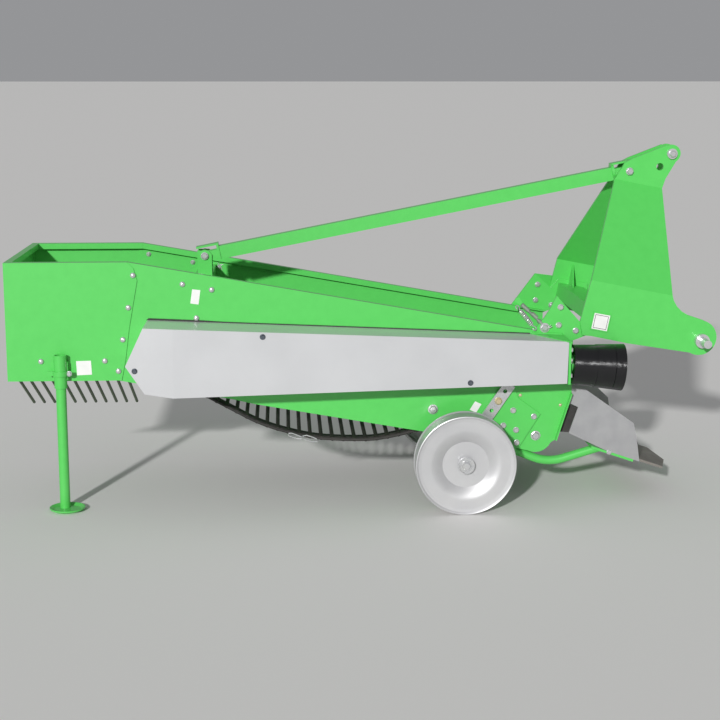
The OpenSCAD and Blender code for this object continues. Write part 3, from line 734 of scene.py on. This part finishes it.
@dataclass(frozen=True)
class Fastener:
    """One fastener seen from outside, standing on Z = 0.

    The thread and the washer's diameter are in millimetres. The rest are shares of the thread,
    apart from washer_edge, a share of the washer's thickness, and flat, a share of the corners.
    """

    kind: Head
    thread: float
    washer: float
    across: float = 1.7
    rise: float = 0.64
    washer_thick: float = 0.18
    washer_edge: float = 0.2
    dome_radius: float = 0.95
    dome_rise: float = 0.55
    flat: float = 0.78
    chamfer: float = 0.2
    bolt_straight: float = 0.3
    bolt_rise: float = 0.42
    bolt_tip: float = 0.4
    dome_steps: int = 6
    dome_sides: int = 24
    washer_sides: int = 28
    thread_sides: int = 16

    def build(self) -> Solid:
        """Build the head or nut on its washer.

        Returns:
            The solid, seated on Z = 0.
        """
        thread = self.thread * MM
        washer = self.washer * MM / 2
        thick = self.washer_thick * thread
        if self.kind is Head.DOME:
            cap, rise = self.dome_radius * thread, self.dome_rise * thread
            angles = (math.pi / 2 * k / self.dome_steps for k in range(1, self.dome_steps))
            return revolve([
                (0, 0), (washer, 0), (washer, thick), (cap, thick),
                *((cap * math.cos(a), thick + rise * math.sin(a)) for a in angles),
                (0, thick + rise)], self.dome_sides)
        bevel = self.washer_edge * thick
        shape = revolve([(0, 0), (washer, 0), (washer, thick - bevel),
                         (washer - bevel, thick), (0, thick)], self.washer_sides)
        corner = self.across * thread / math.sqrt(3)
        top = thick + self.rise * thread
        levels = ((corner, thick), (corner, top - self.chamfer * thread),
                  (corner * self.flat, top))
        bridge(shape, [level_ring(shape, *level, HEX_SIDES) for level in levels], lids=True)
        if self.kind is Head.NUT:
            end = top + self.bolt_rise * thread
            absorb(shape, revolve([
                (0, top), (thread / 2, top), (thread / 2, top + self.bolt_straight * thread),
                (self.bolt_tip * thread, end), (0, end)], self.thread_sides))
        return shape


@dataclass
class FastenerRow:
    """Fasteners of one kind in millimetres, each turned by one more twist than the last."""

    name: str
    template: Fastener
    spots: Line
    facing: Point
    finish: Finish = ZINC
    twist: float = 0.7

    @classmethod
    def side(cls, name: str, template: Fastener, y: float, pairs: Outline, facing: int = -1,
             finish: Finish = ZINC) -> "FastenerRow":
        """Make a row at (x, z) places of a plane, with heads that face to one sign of Y."""
        return cls(name, template, [(x, y, z) for x, z in pairs], (0, facing, 0), finish)

    def mirrored(self) -> "FastenerRow":
        """Mirror the row to the machine's other side.

        Returns:
            The new row.
        """
        spots = [(x, -y, z) for x, y, z in self.spots]
        x, y, z = self.facing
        return FastenerRow(self.name + "_left", self.template, spots, (x, -y, z), self.finish)

    def build(self, tree: Tree) -> None:
        """Make the row as one piece.

        Args:
            tree: The scatter tree.
        """
        points = bpy.data.meshes.new(self.name + "_points")
        points.from_pydata([place(*spot) for spot in self.spots], [], [])
        facing = points.attributes.new("facing", "FLOAT_VECTOR", "POINT")
        facing.data.foreach_set("vector", list(self.facing) * len(self.spots))
        twist = points.attributes.new("twist", "FLOAT", "POINT")
        twist.data.foreach_set("value", [self.twist * k for k in range(len(self.spots))])
        tree.copies(self.name, points, self.template.build(), self.finish)


@dataclass
class Weld:
    """A weld bead: flat domes that lap over each other along a line."""

    start: Point = (1752, -308, 580)
    end: Point = (1846, -308, 576)
    facing: Point = (0, -0.7, 0.7)
    pitch: float = 5.0
    bead: Fastener = Fastener(Head.DOME, 6.5, 13.0)

    def row(self) -> FastenerRow:
        """Set the bead's domes in a row.

        Returns:
            The row.
        """
        first, last = Vector(self.start), Vector(self.end)
        steps = round((last - first).length / self.pitch)
        spots = [tuple(first.lerp(last, k / steps)) for k in range(steps + 1)]
        return FastenerRow("weld_0", self.bead, spots, self.facing, GREEN)


WALL_BOLT = Fastener(Head.DOME, 10.0, 19.0)
SIDE_RIVET = Fastener(Head.DOME, 5.0, 11.0)
WALL_NUT = Fastener(Head.NUT, 8.0, 18.0)
PLATE_NUT = Fastener(Head.NUT, 10.0, 21.0)
COVER_BOLT = Fastener(Head.HEX, 8.0, 19.0)
PLATE_BOLT = Fastener(Head.HEX, 10.0, 21.0)
LEG_BOLT = Fastener(Head.HEX, 12.0, 26.0)
HINGE_BOLT = Fastener(Head.HEX, 12.0, 33.0)
STRUT_HEAD = Fastener(Head.HEX, 12.0, 23.0, 1.7, 0.4)
ROLLER_BOLT = Fastener(Head.HEX, 14.0, 34.0)
HUB_NUT = Fastener(Head.HEX, 15.0, 36.0, 1.8, 0.3)

SEAM = ((422, 784), (404, 677), (383, 570), (366, 464), (112, 499), (322, 499))
UPPER = ((583, 753), (679, 734), (627, 640))
CLAMP = ((1689, 316), (1760, 294), (1700, 248), (1656, 264), (1703, 204))
GUSSET = ((1837, 607), (1895, 588), (1842, 668))
FAR_GUSSET = ((1867, 661), (1860, 602), (1920, 583))


@dataclass
class Fasteners:
    """All bolts, nuts and rivets of the machine. Paired rows are on both sides."""

    paired: Sequence[FastenerRow] = (
        FastenerRow.side("seam_bolts", WALL_BOLT, -BOX_OUTER, SEAM),
        FastenerRow.side("seam_nuts", WALL_NUT, -WALL_INNER, SEAM, facing=1),
        FastenerRow.side("wall_bolts", WALL_BOLT, -WALL_OUTER, UPPER),
        FastenerRow.side("wall_nuts", WALL_NUT, -WALL_INNER, UPPER, facing=1),
        FastenerRow.side("roller_bolts", ROLLER_BOLT, -WALL_OUTER, ((1417, 321), (1768, 226))),
        FastenerRow.side("clamp_bolts", PLATE_BOLT, -GUSSET_OUTER, CLAMP),
        FastenerRow.side("leg_bolt", LEG_BOLT, -318.0, ((1636.7, 351.1),), finish=YELLOW_ZINC),
        FastenerRow.side("hub_nut", HUB_NUT, -472.0, ((1512, 167),)),
        FastenerRow.side("side_rivets", SIDE_RIVET, -WALL_OUTER, ((1713.5, 366.4), (1851, 331)),
                         finish=YELLOW_ZINC),
        FastenerRow.side("share_bolt", COVER_BOLT, -WALL_INNER, ((2024.5, 164),)),
    )
    single: Sequence[FastenerRow] = (
        FastenerRow.side("gusset_bolts", PLATE_BOLT, -GUSSET_OUTER, GUSSET),
        FastenerRow.side("gusset_nuts", WALL_NUT, -WALL_OUTER, GUSSET[2:], facing=1),
        FastenerRow.side("far_gusset_bolts", PLATE_BOLT, GUSSET_OUTER, FAR_GUSSET, facing=1),
        FastenerRow.side("far_gusset_nuts", PLATE_NUT, WALL_OUTER, FAR_GUSSET),
        FastenerRow(
            "cover_bolts", COVER_BOLT,
            ((436, -475, 496), (848, -466.7, 603), (1525, -447.3, 441)), (0, -1, 0), DARK_ZINC),
        FastenerRow(
            "bearing_plate_bolts", COVER_BOLT,
            ((1857.3, -428, 544), (1857.3, -428, 509), (1857.3, -428, 458)), (1, 0, 0)),
        FastenerRow.side("hinge_bolt", HINGE_BOLT, -GUSSET_OUTER, ((1790, 598.7),)),
        FastenerRow.side("stand_bolt", COVER_BOLT, -337, ((207.5, 463),)),
    )
    strut_rear: Point = (644.0, 36.0, 815.0)
    strut_front_in: Pair = (13.0, 14.0)

    def strut_heads(self) -> list[FastenerRow]:
        """Put hexagons on the heads of the strut's bolts and on the top pin's ends.

        Returns:
            One row for each side.
        """
        bolts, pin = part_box("strut_bolts"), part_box("top_pin")
        middle = (pin[0] + pin[1]) / 2
        from_end, from_top = self.strut_front_in
        front = (bolts[1].x / MM + MACHINE_LENGTH / 2 - from_end, bolts[1].y / MM,
                 bolts[1].z / MM - from_top)
        top = (middle.x / MM + MACHINE_LENGTH / 2, pin[1].y / MM, middle.z / MM)
        return [
            FastenerRow(
                "strut_heads_" + side.label, STRUT_HEAD,
                [(x, side.value * y, z) for x, y, z in (front, self.strut_rear, top)],
                (0, side.value, 0))
            for side in Side
        ]

    def build(self) -> None:
        """Make every row and the weld."""
        tree = scatter_tree()
        left = [row.mirrored() for row in self.paired]
        for row in [*self.paired, *left, *self.single, *self.strut_heads(), Weld().row()]:
            row.build(tree)


# Sieving web


@dataclass
class SievingWeb:
    """The endless web: two belts round the drums and the front roller, with riveted rods.

    Lengths are in millimetres, angles in degrees. The sag is the return run's points as (x, z).
    A tip or grip shape is the width and height of a rod's flattened end, as shares of the rod's.
    """

    drive: Pair = (485.0, 531.0)
    nose: Pair = (1768.0, 226.0)
    drum_radius: float = 57.0
    nose_radius: float = 34.0
    belt_thickness: float = 8.0
    belt_width: float = 60.0
    half_width: float = 272.0
    rod_diameter: float = 14.0
    rod_pitch: float = 38.0
    rod_end: float = 5.0
    rod_sides: int = 10
    rod_tip: float = 4.0
    rod_taper: float = 12.0
    rod_grip: float = 6.0
    tip_shape: Pair = (1.25, 0.95)
    grip_shape: Pair = (1.35, 0.95)
    rivet_insets: Pair = (16.0, 44.0)
    rivet: Outline = ((0, 3.5), (6.5, 3.5), (6.5, 4.8), (4.0, 6.8), (0, 7.2))
    rivet_sides: int = 10
    leave_angle: float = -107.0
    meet_angle: float = 241.0
    arc_steps: int = 24
    sag_steps: int = 8
    sag: Outline = (
        (1600, 236), (1500, 264), (1455, 267), (1350, 237.5), (1259, 217.5), (1180, 210.5),
        (1038, 217.5), (927, 240.5), (826, 275.5), (717, 333.5))

    def path(self) -> list[Vector]:
        """Work out the belts' middle line at Y = 0.

        Returns:
            Its points, from the drum over the top to the nose and back below.
        """
        first = self.drum_radius + self.belt_thickness / 2
        second = self.nose_radius + self.belt_thickness / 2
        along, fall = self.nose[0] - self.drive[0], self.nose[1] - self.drive[1]
        up = (math.degrees(math.atan2(fall, along)) + 90
              - math.degrees(math.asin((first - second) / math.hypot(along, fall))))
        loop = self.arc(self.drive, first, self.meet_angle, up)
        loop += self.arc(self.nose, second, up, self.leave_angle)
        knots = [loop[-1], loop[-1], *self.sag, loop[0], loop[0]]
        for four in zip(knots, knots[1:], knots[2:], knots[3:]):
            loop += [
                tuple(self.bend(*(knot[c] for knot in four), k / self.sag_steps)
                      for c in (0, 1))
                for k in range(1, self.sag_steps + 1)
            ]
        loop.pop()
        return [place(x, 0, z) for x, z in loop]

    def arc(self, centre: Pair, radius: float, start: float, end: float) -> list[Pair]:
        """Lay points on an arc.

        Args:
            centre: The circle's middle.
            radius: Its radius.
            start: The first point's angle in degrees.
            end: The last one's.

        Returns:
            The points.
        """
        angles = (math.radians(start - (start - end) * k / self.arc_steps)
                  for k in range(self.arc_steps + 1))
        return [(centre[0] + radius * math.cos(a), centre[1] + radius * math.sin(a))
                for a in angles]

    @staticmethod
    def bend(a: float, b: float, c: float, d: float, t: float) -> float:
        """Return the smooth curve through four values, from the second to the third, at t."""
        return 0.5 * (2 * b + (c - a) * t + (2 * a - 5 * b + 4 * c - d) * t**2
                      + (3 * b - a - 3 * c + d) * t**3)

    @staticmethod
    def belt_tree() -> Tree:
        """Make the tree that runs a flat belt along a line.

        Returns:
            The tree.
        """
        tree = Tree("belt_sweep", {"Width": "Float", "Thickness": "Float"})
        curve = tree.node("MeshToCurve", {"Mesh": tree.given["Geometry"]})
        section = tree.node("CurvePrimitiveQuadrilateral", {
            "Width": tree.given["Width"], "Height": tree.given["Thickness"]})
        upright = tree.node("SetCurveNormal", {"Curve": curve["Curve"], "Normal": (0, 1, 0)},
                            mode="FREE")
        body = tree.node("CurveToMesh", {
            "Curve": upright["Curve"], "Profile Curve": section["Curve"], "Fill Caps": True})
        tree.finish(body["Mesh"])
        return tree

    @staticmethod
    def rod_tree() -> Tree:
        """Make the tree that sets a template along a line at an even pitch.

        Returns:
            The tree.
        """
        tree = Tree("rod_row", {"Template": "Object", "Count": "Int"})
        curve = tree.node("MeshToCurve", {"Mesh": tree.given["Geometry"]})
        spread = tree.node("ResampleCurve", {
            "Curve": curve["Curve"], "Count": tree.given["Count"]})
        align = tree.node("FunctionNodeAlignRotationToVector", {
            "Vector": tree.node("InputTangent")["Tangent"]}, axis="X", pivot_axis="Y")
        tree.finish_copies(spread["Curve"], align["Rotation"])
        return tree

    def rod(self) -> Solid:
        """Build one rod across the web, a round bar whose flattened ends lie on the belts.

        Returns:
            The solid.
        """
        radius = self.rod_diameter / 2
        reach = self.half_width - self.rod_end
        inner = self.half_width - self.belt_width - self.rod_grip
        half = [(reach, *self.tip_shape), (reach - self.rod_tip, *self.grip_shape),
                (inner + self.rod_taper, *self.grip_shape), (inner, 1.0, 1.0)]
        shape = bmesh.new()
        bridge(shape, [
            ring(shape, Vector((0, y, 0)) * MM, Vector((radius * wide, 0, 0)) * MM,
                 Vector((0, 0, radius * high)) * MM, self.rod_sides)
            for y, wide, high in [*((-y, *size) for y, *size in half), *reversed(half)]
        ], lids=True)
        return shape

    def rivets(self) -> Solid:
        """Build the rivet heads of one rod, on both faces of both belts.

        Returns:
            The solid.
        """
        shape = bmesh.new()
        profile = [(radius * MM, height * MM) for radius, height in self.rivet]
        for side in Side:
            for inset in self.rivet_insets:
                y = side.value * (self.half_width - inset) * MM
                for turn in (0, math.pi):
                    head = revolve(profile, self.rivet_sides)
                    put = Matrix.Translation((0, y, 0)) @ Matrix.Rotation(turn, 4, "X")
                    bmesh.ops.transform(head, matrix=put, verts=head.verts)
                    absorb(shape, head)
        return shape

    def build(self) -> None:
        """Make the belts, the rods and the rivets, and let them stand for the CAD web."""
        points = self.path()
        line = bpy.data.meshes.new("web_line")
        line.from_pydata(points, [(k, (k + 1) % len(points)) for k in range(len(points))], [])
        length = sum((points[k] - points[k - 1]).length for k in range(len(points)))
        tree = self.belt_tree()
        for side in Side:
            name = "web_belt_" + side.label
            mesh = tree.bake(name, line.copy(), {
                "Width": self.belt_width * MM, "Thickness": self.belt_thickness * MM,
                "Material": RUBBER.material()})
            shift = side.value * (self.half_width - self.belt_width / 2) * MM
            mesh.transform(Matrix.Translation((0, shift, 0)))
            mesh_object(name, mesh, RUBBER)
        rods = self.rod_tree()
        count = round(length / (self.rod_pitch * MM))
        for name, shape in (("web_rods", self.rod()), ("web_rivets", self.rivets())):
            rods.copies(name, line.copy(), shape, ROD_STEEL, Count=count)
        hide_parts("web")


# Small pieces


@dataclass
class TensionSpring:
    """The coil spring with its hooks above the near gusset, in millimetres.

    The hook is the share of the length before the coil, and the coil widens over 1 / taper of
    its own length at each end. The eye is the arc of an open hook.
    """

    start: Point = (1692.6, -307.2, 673.2)
    end: Point = (1758.4, -317.8, 593.3)
    coil_radius: float = 7.5
    wire_radius: float = 2.0
    wire_sides: int = 8
    turns: int = 11
    turn_steps: int = 16
    hook: float = 0.17
    taper: float = 12.0
    eye_radius: float = 7.0
    eye_start: float = -120.0
    eye_step: float = 20.0
    eye_points: int = 15

    def path(self) -> list[Vector]:
        """Work out the wire's middle line.

        Returns:
            A hook, the coil and a second hook.
        """
        a, b = place(*self.start), place(*self.end)
        along = (b - a).normalized()
        first = along.orthogonal().normalized()
        second = along.cross(first)
        length = (b - a).length
        points = []
        steps = self.turns * self.turn_steps
        for k in range(steps + 1):
            share = k / steps
            angle = 2 * math.pi * self.turns * share
            radius = self.coil_radius * MM * min(
                1.0, share * self.taper, (1 - share) * self.taper)
            where = length * (self.hook + (1 - 2 * self.hook) * share)
            off = math.cos(angle) * first + math.sin(angle) * second
            points.append(a + along * where + radius * off)
        return [*self.eye(a, along, first), *points, *reversed(self.eye(b, -along, first))]

    def eye(self, tip: Vector, along: Vector, across: Vector) -> list[Vector]:
        """Lay points on the open hook at an end.

        Args:
            tip: The end's place.
            along: The direction to the coil.
            across: The direction square to it that the hook opens to.

        Returns:
            The points.
        """
        radius = self.eye_radius * MM
        angles = (math.radians(self.eye_start + self.eye_step * k)
                  for k in range(self.eye_points))
        return [tip + along * radius - radius * (math.cos(a) * along + math.sin(a) * across)
                for a in angles]

    def build(self) -> None:
        """Make the spring."""
        wire = sweep(self.path(), self.wire_radius * MM, self.wire_sides)
        mesh_object("tension_spring", from_bmesh("tension_spring", wire), ZINC)


@dataclass
class BlankPlates:
    """The blank stickers and the blank square sign, which stand just proud of their plates.

    A layer of the sign is its name, its inset, how far its rear and its front stand off the
    headstock plate, and its finish.
    """

    thickness: float = 0.5
    stickers: Sequence[tuple[str, float, Outline]] = (
        ("box_sticker", BOX_OUTER, ((227, 499), (276, 500), (278, 453), (229, 451))),
        ("wall_sticker", WALL_OUTER, ((615, 736), (642, 733), (635, 685), (608, 689))),
        ("low_sticker", WALL_OUTER, ((1560, 347), (1582, 337), (1564, 308), (1542, 318))),
    )
    sign_corner: Pair = (1951.5, 655.0)
    sign_size: float = 61.5
    sign_tilt: float = 11.0
    layers: Sequence[tuple[str, float, float, float, Finish]] = (
        ("sign_plate", 0.0, 0.0, 4.0, GREEN), ("sign_border", 4.0, 4.0, 4.6, STICKER),
        ("sign_ring", 8.0, 4.6, 4.9, BORDER), ("sign_face", 9.6, 4.9, 5.2, STICKER))

    def square(self, inset: float) -> list[Pair]:
        """Return the sign's outline, tilted with the headstock's folds.

        Args:
            inset: The distance from the outer edge.

        Returns:
            Its four corners.
        """
        angle = math.radians(self.sign_tilt)
        cosine, sine = math.cos(angle), math.sin(angle)
        low, high = inset, self.sign_size - inset
        x, z = self.sign_corner
        return [
            (x + u * cosine - v * sine, z - u * sine - v * cosine)
            for u, v in ((low, low), (high, low), (high, high), (low, high))
        ]

    def build(self) -> None:
        """Make the stickers and the sign."""
        for name, y, outline in self.stickers:
            flat_piece(name, slab(outline, -y - self.thickness, -y + STUCK), STICKER)
        for name, inset, back, front, finish in self.layers:
            shape = slab(self.square(inset), -HEAD_OUTER - front, -HEAD_OUTER - back + STUCK)
            flat_piece(name, shape, finish)


@dataclass
class WirePieces:
    """Bent wires and round bars, in millimetres.

    They are the split pins, the hub pins, the belt joint's clips and the bar beside the spring
    with its sleeves.
    """

    sides: int = 10
    split_radius: float = 1.4
    split_pins: Sequence[Line] = (
        ((688, -30, 790), (694, -30, 784), (700, -31, 775), (704, -31, 765)),
        ((694, -29, 781), (700, -29, 784), (708, -30, 784)),
        ((1799, -319, 602), (1805, -320, 606), (1809, -320, 611)),
        ((1800, -319, 600), (1807, -320, 602), (1813, -320, 605)),
    )
    hub_radius: float = 1.8
    hub_pin: Line = (
        (1489, -475, 176), (1487, -476, 166), (1490, -477, 155), (1497, -477, 147),
        (1507, -476, 143))
    clip_radius: float = 2.2
    clip_y: float = -275.0
    clips: Sequence[Outline] = (
        ((973, 225), (958, 231), (940, 238), (930, 238), (929, 230), (942, 224), (958, 219),
         (973, 218)),
        ((976, 227), (990, 230), (1008, 224), (1024, 217), (1026, 208), (1010, 208),
         (992, 212), (980, 217)),
    )
    sleeve_radius: float = 7.5
    bar_radius: float = 4.5
    sleeves: Sequence[tuple[Point, Point]] = (
        ((1712, -303, 677), (1735, -303, 656)),
        ((1746, -303, 647), (1764, -303, 631)),
        ((1768, -303, 624), (1780, -303, 612)),
    )

    def build(self) -> None:
        """Make every wire."""
        for number, path in enumerate(self.split_pins):
            self.wire(f"split_pin_{number}", path, self.split_radius, ZINC)
        for side in Side:
            path = [(x, -y * side.value, z) for x, y, z in self.hub_pin]
            self.wire("hub_pin_" + side.label, path, self.hub_radius, ZINC)
        for number, clip in enumerate(self.clips):
            path = [(x, self.clip_y, z) for x, z in clip]
            self.wire(f"belt_clip_{number}", path, self.clip_radius, ZINC)
        for number, path in enumerate(self.sleeves):
            self.wire(f"stop_sleeve_{number}", path, self.sleeve_radius, DULL)
        bar = (self.sleeves[0][0], self.sleeves[-1][1])
        self.wire("stop_bar", bar, self.bar_radius, DULL)

    def wire(self, name: str, path: Line, radius: float, finish: Finish) -> None:
        """Make one wire along a path, with the path and the radius in millimetres."""
        shape = sweep([place(*point) for point in path], radius * MM, self.sides)
        mesh_object(name, from_bmesh(name, shape), finish)


@dataclass
class SheetPieces:
    """Small flat pieces, in millimetres.

    They are the flaps beside the share, a dark strip of painted shadow in the gap above the
    cover, the stand's clamp ears, the spring's lug, the far gusset's fold and the web at the
    cover's front corner. A lug is its name, its outline and its two sides' Y.
    """

    flap: Outline = ((1862, 331), (1913, 321), (1884, 233), (1846, 236))
    flap_y: Pair = (288.0, 284.0)
    # A dark strip along the cover's top rear edge: painted shadow of the gap between the cover
    # and the side plate, in the belts' black
    cover_seam: Outline = (
        (462, 634.5), (470, 640.5), (640, 632.5), (720, 626.6), (1742, 580.8),
        (1742, 577.5), (465, 634.4))
    gap_shadow_y: Pair = (-303.5, -300.2)
    lugs: Sequence[tuple[str, Outline, float, float]] = (
        ("stand_clamp_ear", ((196, 456), (216, 456), (216, 470), (196, 470)), -337, -329),
        ("stand_clamp_ear_rear", ((136, 456), (158, 456), (158, 470), (136, 470)), -337, -329),
        ("spring_lug", ((1685, 689), (1691, 700), (1701, 703), (1712, 686), (1706, 677)),
         -308, -301),
    )
    gusset_fold: Sequence[Line] = (
        ((1857, 308.5, 702), (1926.5, 325, 668.3), (1918, 308.5, 647.3)),
        ((1857, 308.5, 702), (1941.3, 345, 687), (1926.5, 325, 668.3)),
    )
    bearing_web: Sequence[Line] = (
        ((1745, -308, 580.5), (1849, -452, 575.8), (1849, -308, 575.8)),)
    folded_thickness: float = 3.0

    def build(self) -> None:
        """Make every piece."""
        for side in Side:
            near, far = (side.value * y for y in self.flap_y)
            flat_piece("share_flap_" + side.label, slab(self.flap, near, far), RUBBER)
        # Painted shadow: a dark strip in the gap above the cover
        flat_piece("cover_seam", slab(self.cover_seam, *self.gap_shadow_y), RUBBER)
        for name, outline, y0, y1 in self.lugs:
            flat_piece(name, slab(outline, y0, y1), GREEN)
        self.folded("gusset_fold", self.gusset_fold)
        self.folded("bearing_web", self.bearing_web)

    def folded(self, name: str, faces: Sequence[Line]) -> None:
        """Make a thin sheet from flat faces, with walls where no other face follows.

        Args:
            name: The piece's name.
            faces: The upper corners of each face, all in the same sense.
        """
        shape = bmesh.new()
        drop = Vector((0, 0, self.folded_thickness * MM))
        points = list(dict.fromkeys(point for face in faces for point in face))
        upper = {point: shape.verts.new(place(*point)) for point in points}
        lower = {point: shape.verts.new(upper[point].co - drop) for point in points}
        edges = {(face[k - 1], face[k]) for face in faces for k in range(len(face))}
        for face in faces:
            shape.faces.new([upper[point] for point in face])
            shape.faces.new([lower[point] for point in reversed(face)])
        for start, end in sorted(edges):
            if (end, start) not in edges:
                shape.faces.new([upper[start], lower[start], lower[end], upper[end]])
        flat_piece(name, shape, GREEN)


@dataclass
class CadFinishes:
    """The finish of every node that keeps its CAD shape: its slot's, or its own."""

    usual: Sequence[Finish] = (GREEN, SILVER, ZINC, BARE, CASTING, GUARD, RUBBER)
    # The tine grate gets green paint darkened as painted shade
    own: Sequence[tuple[str, Finish]] = (
        ("share_cheek_right", CHEEK), ("share_cheek_left", CHEEK), ("tine_grate", TINE_PAINTED_SHADE),
        ("wheel_right", WHEEL), ("wheel_left", WHEEL))

    def dress(self, frame: dict) -> None:
        """Give each CAD node its finish.
        """
        slots = {row["node"]: row["material_slot"] for row in frame["record"]["subparts"]}
        by_slot = {finish.slot: finish for finish in self.usual}
        by_node = dict(self.own)
        for name, node in frame["nodes"].items():
            material = by_node.get(name, by_slot[slots[name]]).material()
            for slot in node.material_slots:
                slot.link = "OBJECT"
                slot.material = material
            if not node.material_slots:
                node.data.materials.append(material)


# Studio


@dataclass
class Studio:
    """Floor, soft lamps and the camera at the photograph's place.

    Places and lengths are in metres, angles in degrees, and the lens and its sensor in
    millimetres.
    """

    camera_place: Point = (-0.2679, -5.2327, 1.4281)
    yaw: float = 2.925
    pitch: float = 10.721
    lens: float = 75.0
    sensor: float = 36.0
    floor_colour: Point = (0.80, 0.79, 0.77)
    floor_roughness: float = 0.85
    floor_reach: float = 400.0
    sky_colour: Point = (0.93, 0.94, 0.97)
    sky_strength: float = 0.32
    sun_energy: float = 2.9
    sun_width: float = 2.5
    sun_travel: Point = (0.302, 0.893, -0.333)

    def build(self) -> None:
        """Make the floor, the lamps, the world and the camera."""
        scene = bpy.context.scene
        scene.view_settings.view_transform = "Standard"
        self.floor()
        self.lamps()
        self.camera()

    def floor(self) -> None:
        """Make a pale floor under the machine."""
        mesh = bpy.data.meshes.new("floor")
        reach = self.floor_reach
        mesh.from_pydata([(-reach, -reach, 0), (reach, -reach, 0), (reach, reach, 0),
                          (-reach, reach, 0)], [], [(0, 1, 2, 3)])
        floor = add(bpy.data.objects.new("floor", mesh))
        material = bpy.data.materials.new("floor")
        material.use_nodes = True
        net = ShaderNet(material.node_tree)
        net.fill(net.tree.nodes["Principled BSDF"], {
            "Base Color": (*self.floor_colour, 1), "Roughness": self.floor_roughness})
        mesh.materials.append(material)

    def lamps(self) -> None:
        """Make a soft low sun from behind the camera and a pale world."""
        world = bpy.data.worlds.new("studio")
        bpy.context.scene.world = world
        world.use_nodes = True
        net = ShaderNet(world.node_tree)
        net.fill(net.tree.nodes["Background"], {
            "Color": (*self.sky_colour, 1), "Strength": self.sky_strength})
        sun = bpy.data.lights.new("key", "SUN")
        sun.energy = self.sun_energy
        sun.angle = math.radians(self.sun_width)
        self.aim(add(bpy.data.objects.new("key", sun)), Vector(self.sun_travel))

    def camera(self) -> None:
        """Make the camera and point it by its yaw and pitch."""
        data = bpy.data.cameras.new("camera")
        data.lens = self.lens
        data.sensor_width = self.sensor
        camera = add(bpy.data.objects.new("camera", data))
        camera.location = self.camera_place
        yaw, pitch = math.radians(self.yaw), math.radians(self.pitch)
        self.aim(camera, Vector((math.sin(yaw) * math.cos(pitch),
                                 math.cos(yaw) * math.cos(pitch), -math.sin(pitch))))
        bpy.context.scene.camera = camera

    @staticmethod
    def aim(thing: Thing, forward: Vector) -> None:
        """Turn a lamp or the camera to look along a direction, upright."""
        thing.rotation_mode = "QUATERNION"
        thing.rotation_quaternion = forward.to_track_quat("-Z", "Y")


def main() -> None:
    """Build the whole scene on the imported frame."""
    logging.basicConfig(level=logging.INFO, format="%(name)s: %(message)s")
    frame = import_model()
    CadFinishes().dress(frame)
    SievingWeb().build()
    Fasteners().build()
    TensionSpring().build()
    BlankPlates().build()
    WirePieces().build()
    SheetPieces().build()
    Studio().build()


if __name__ == "__main__":
    main()
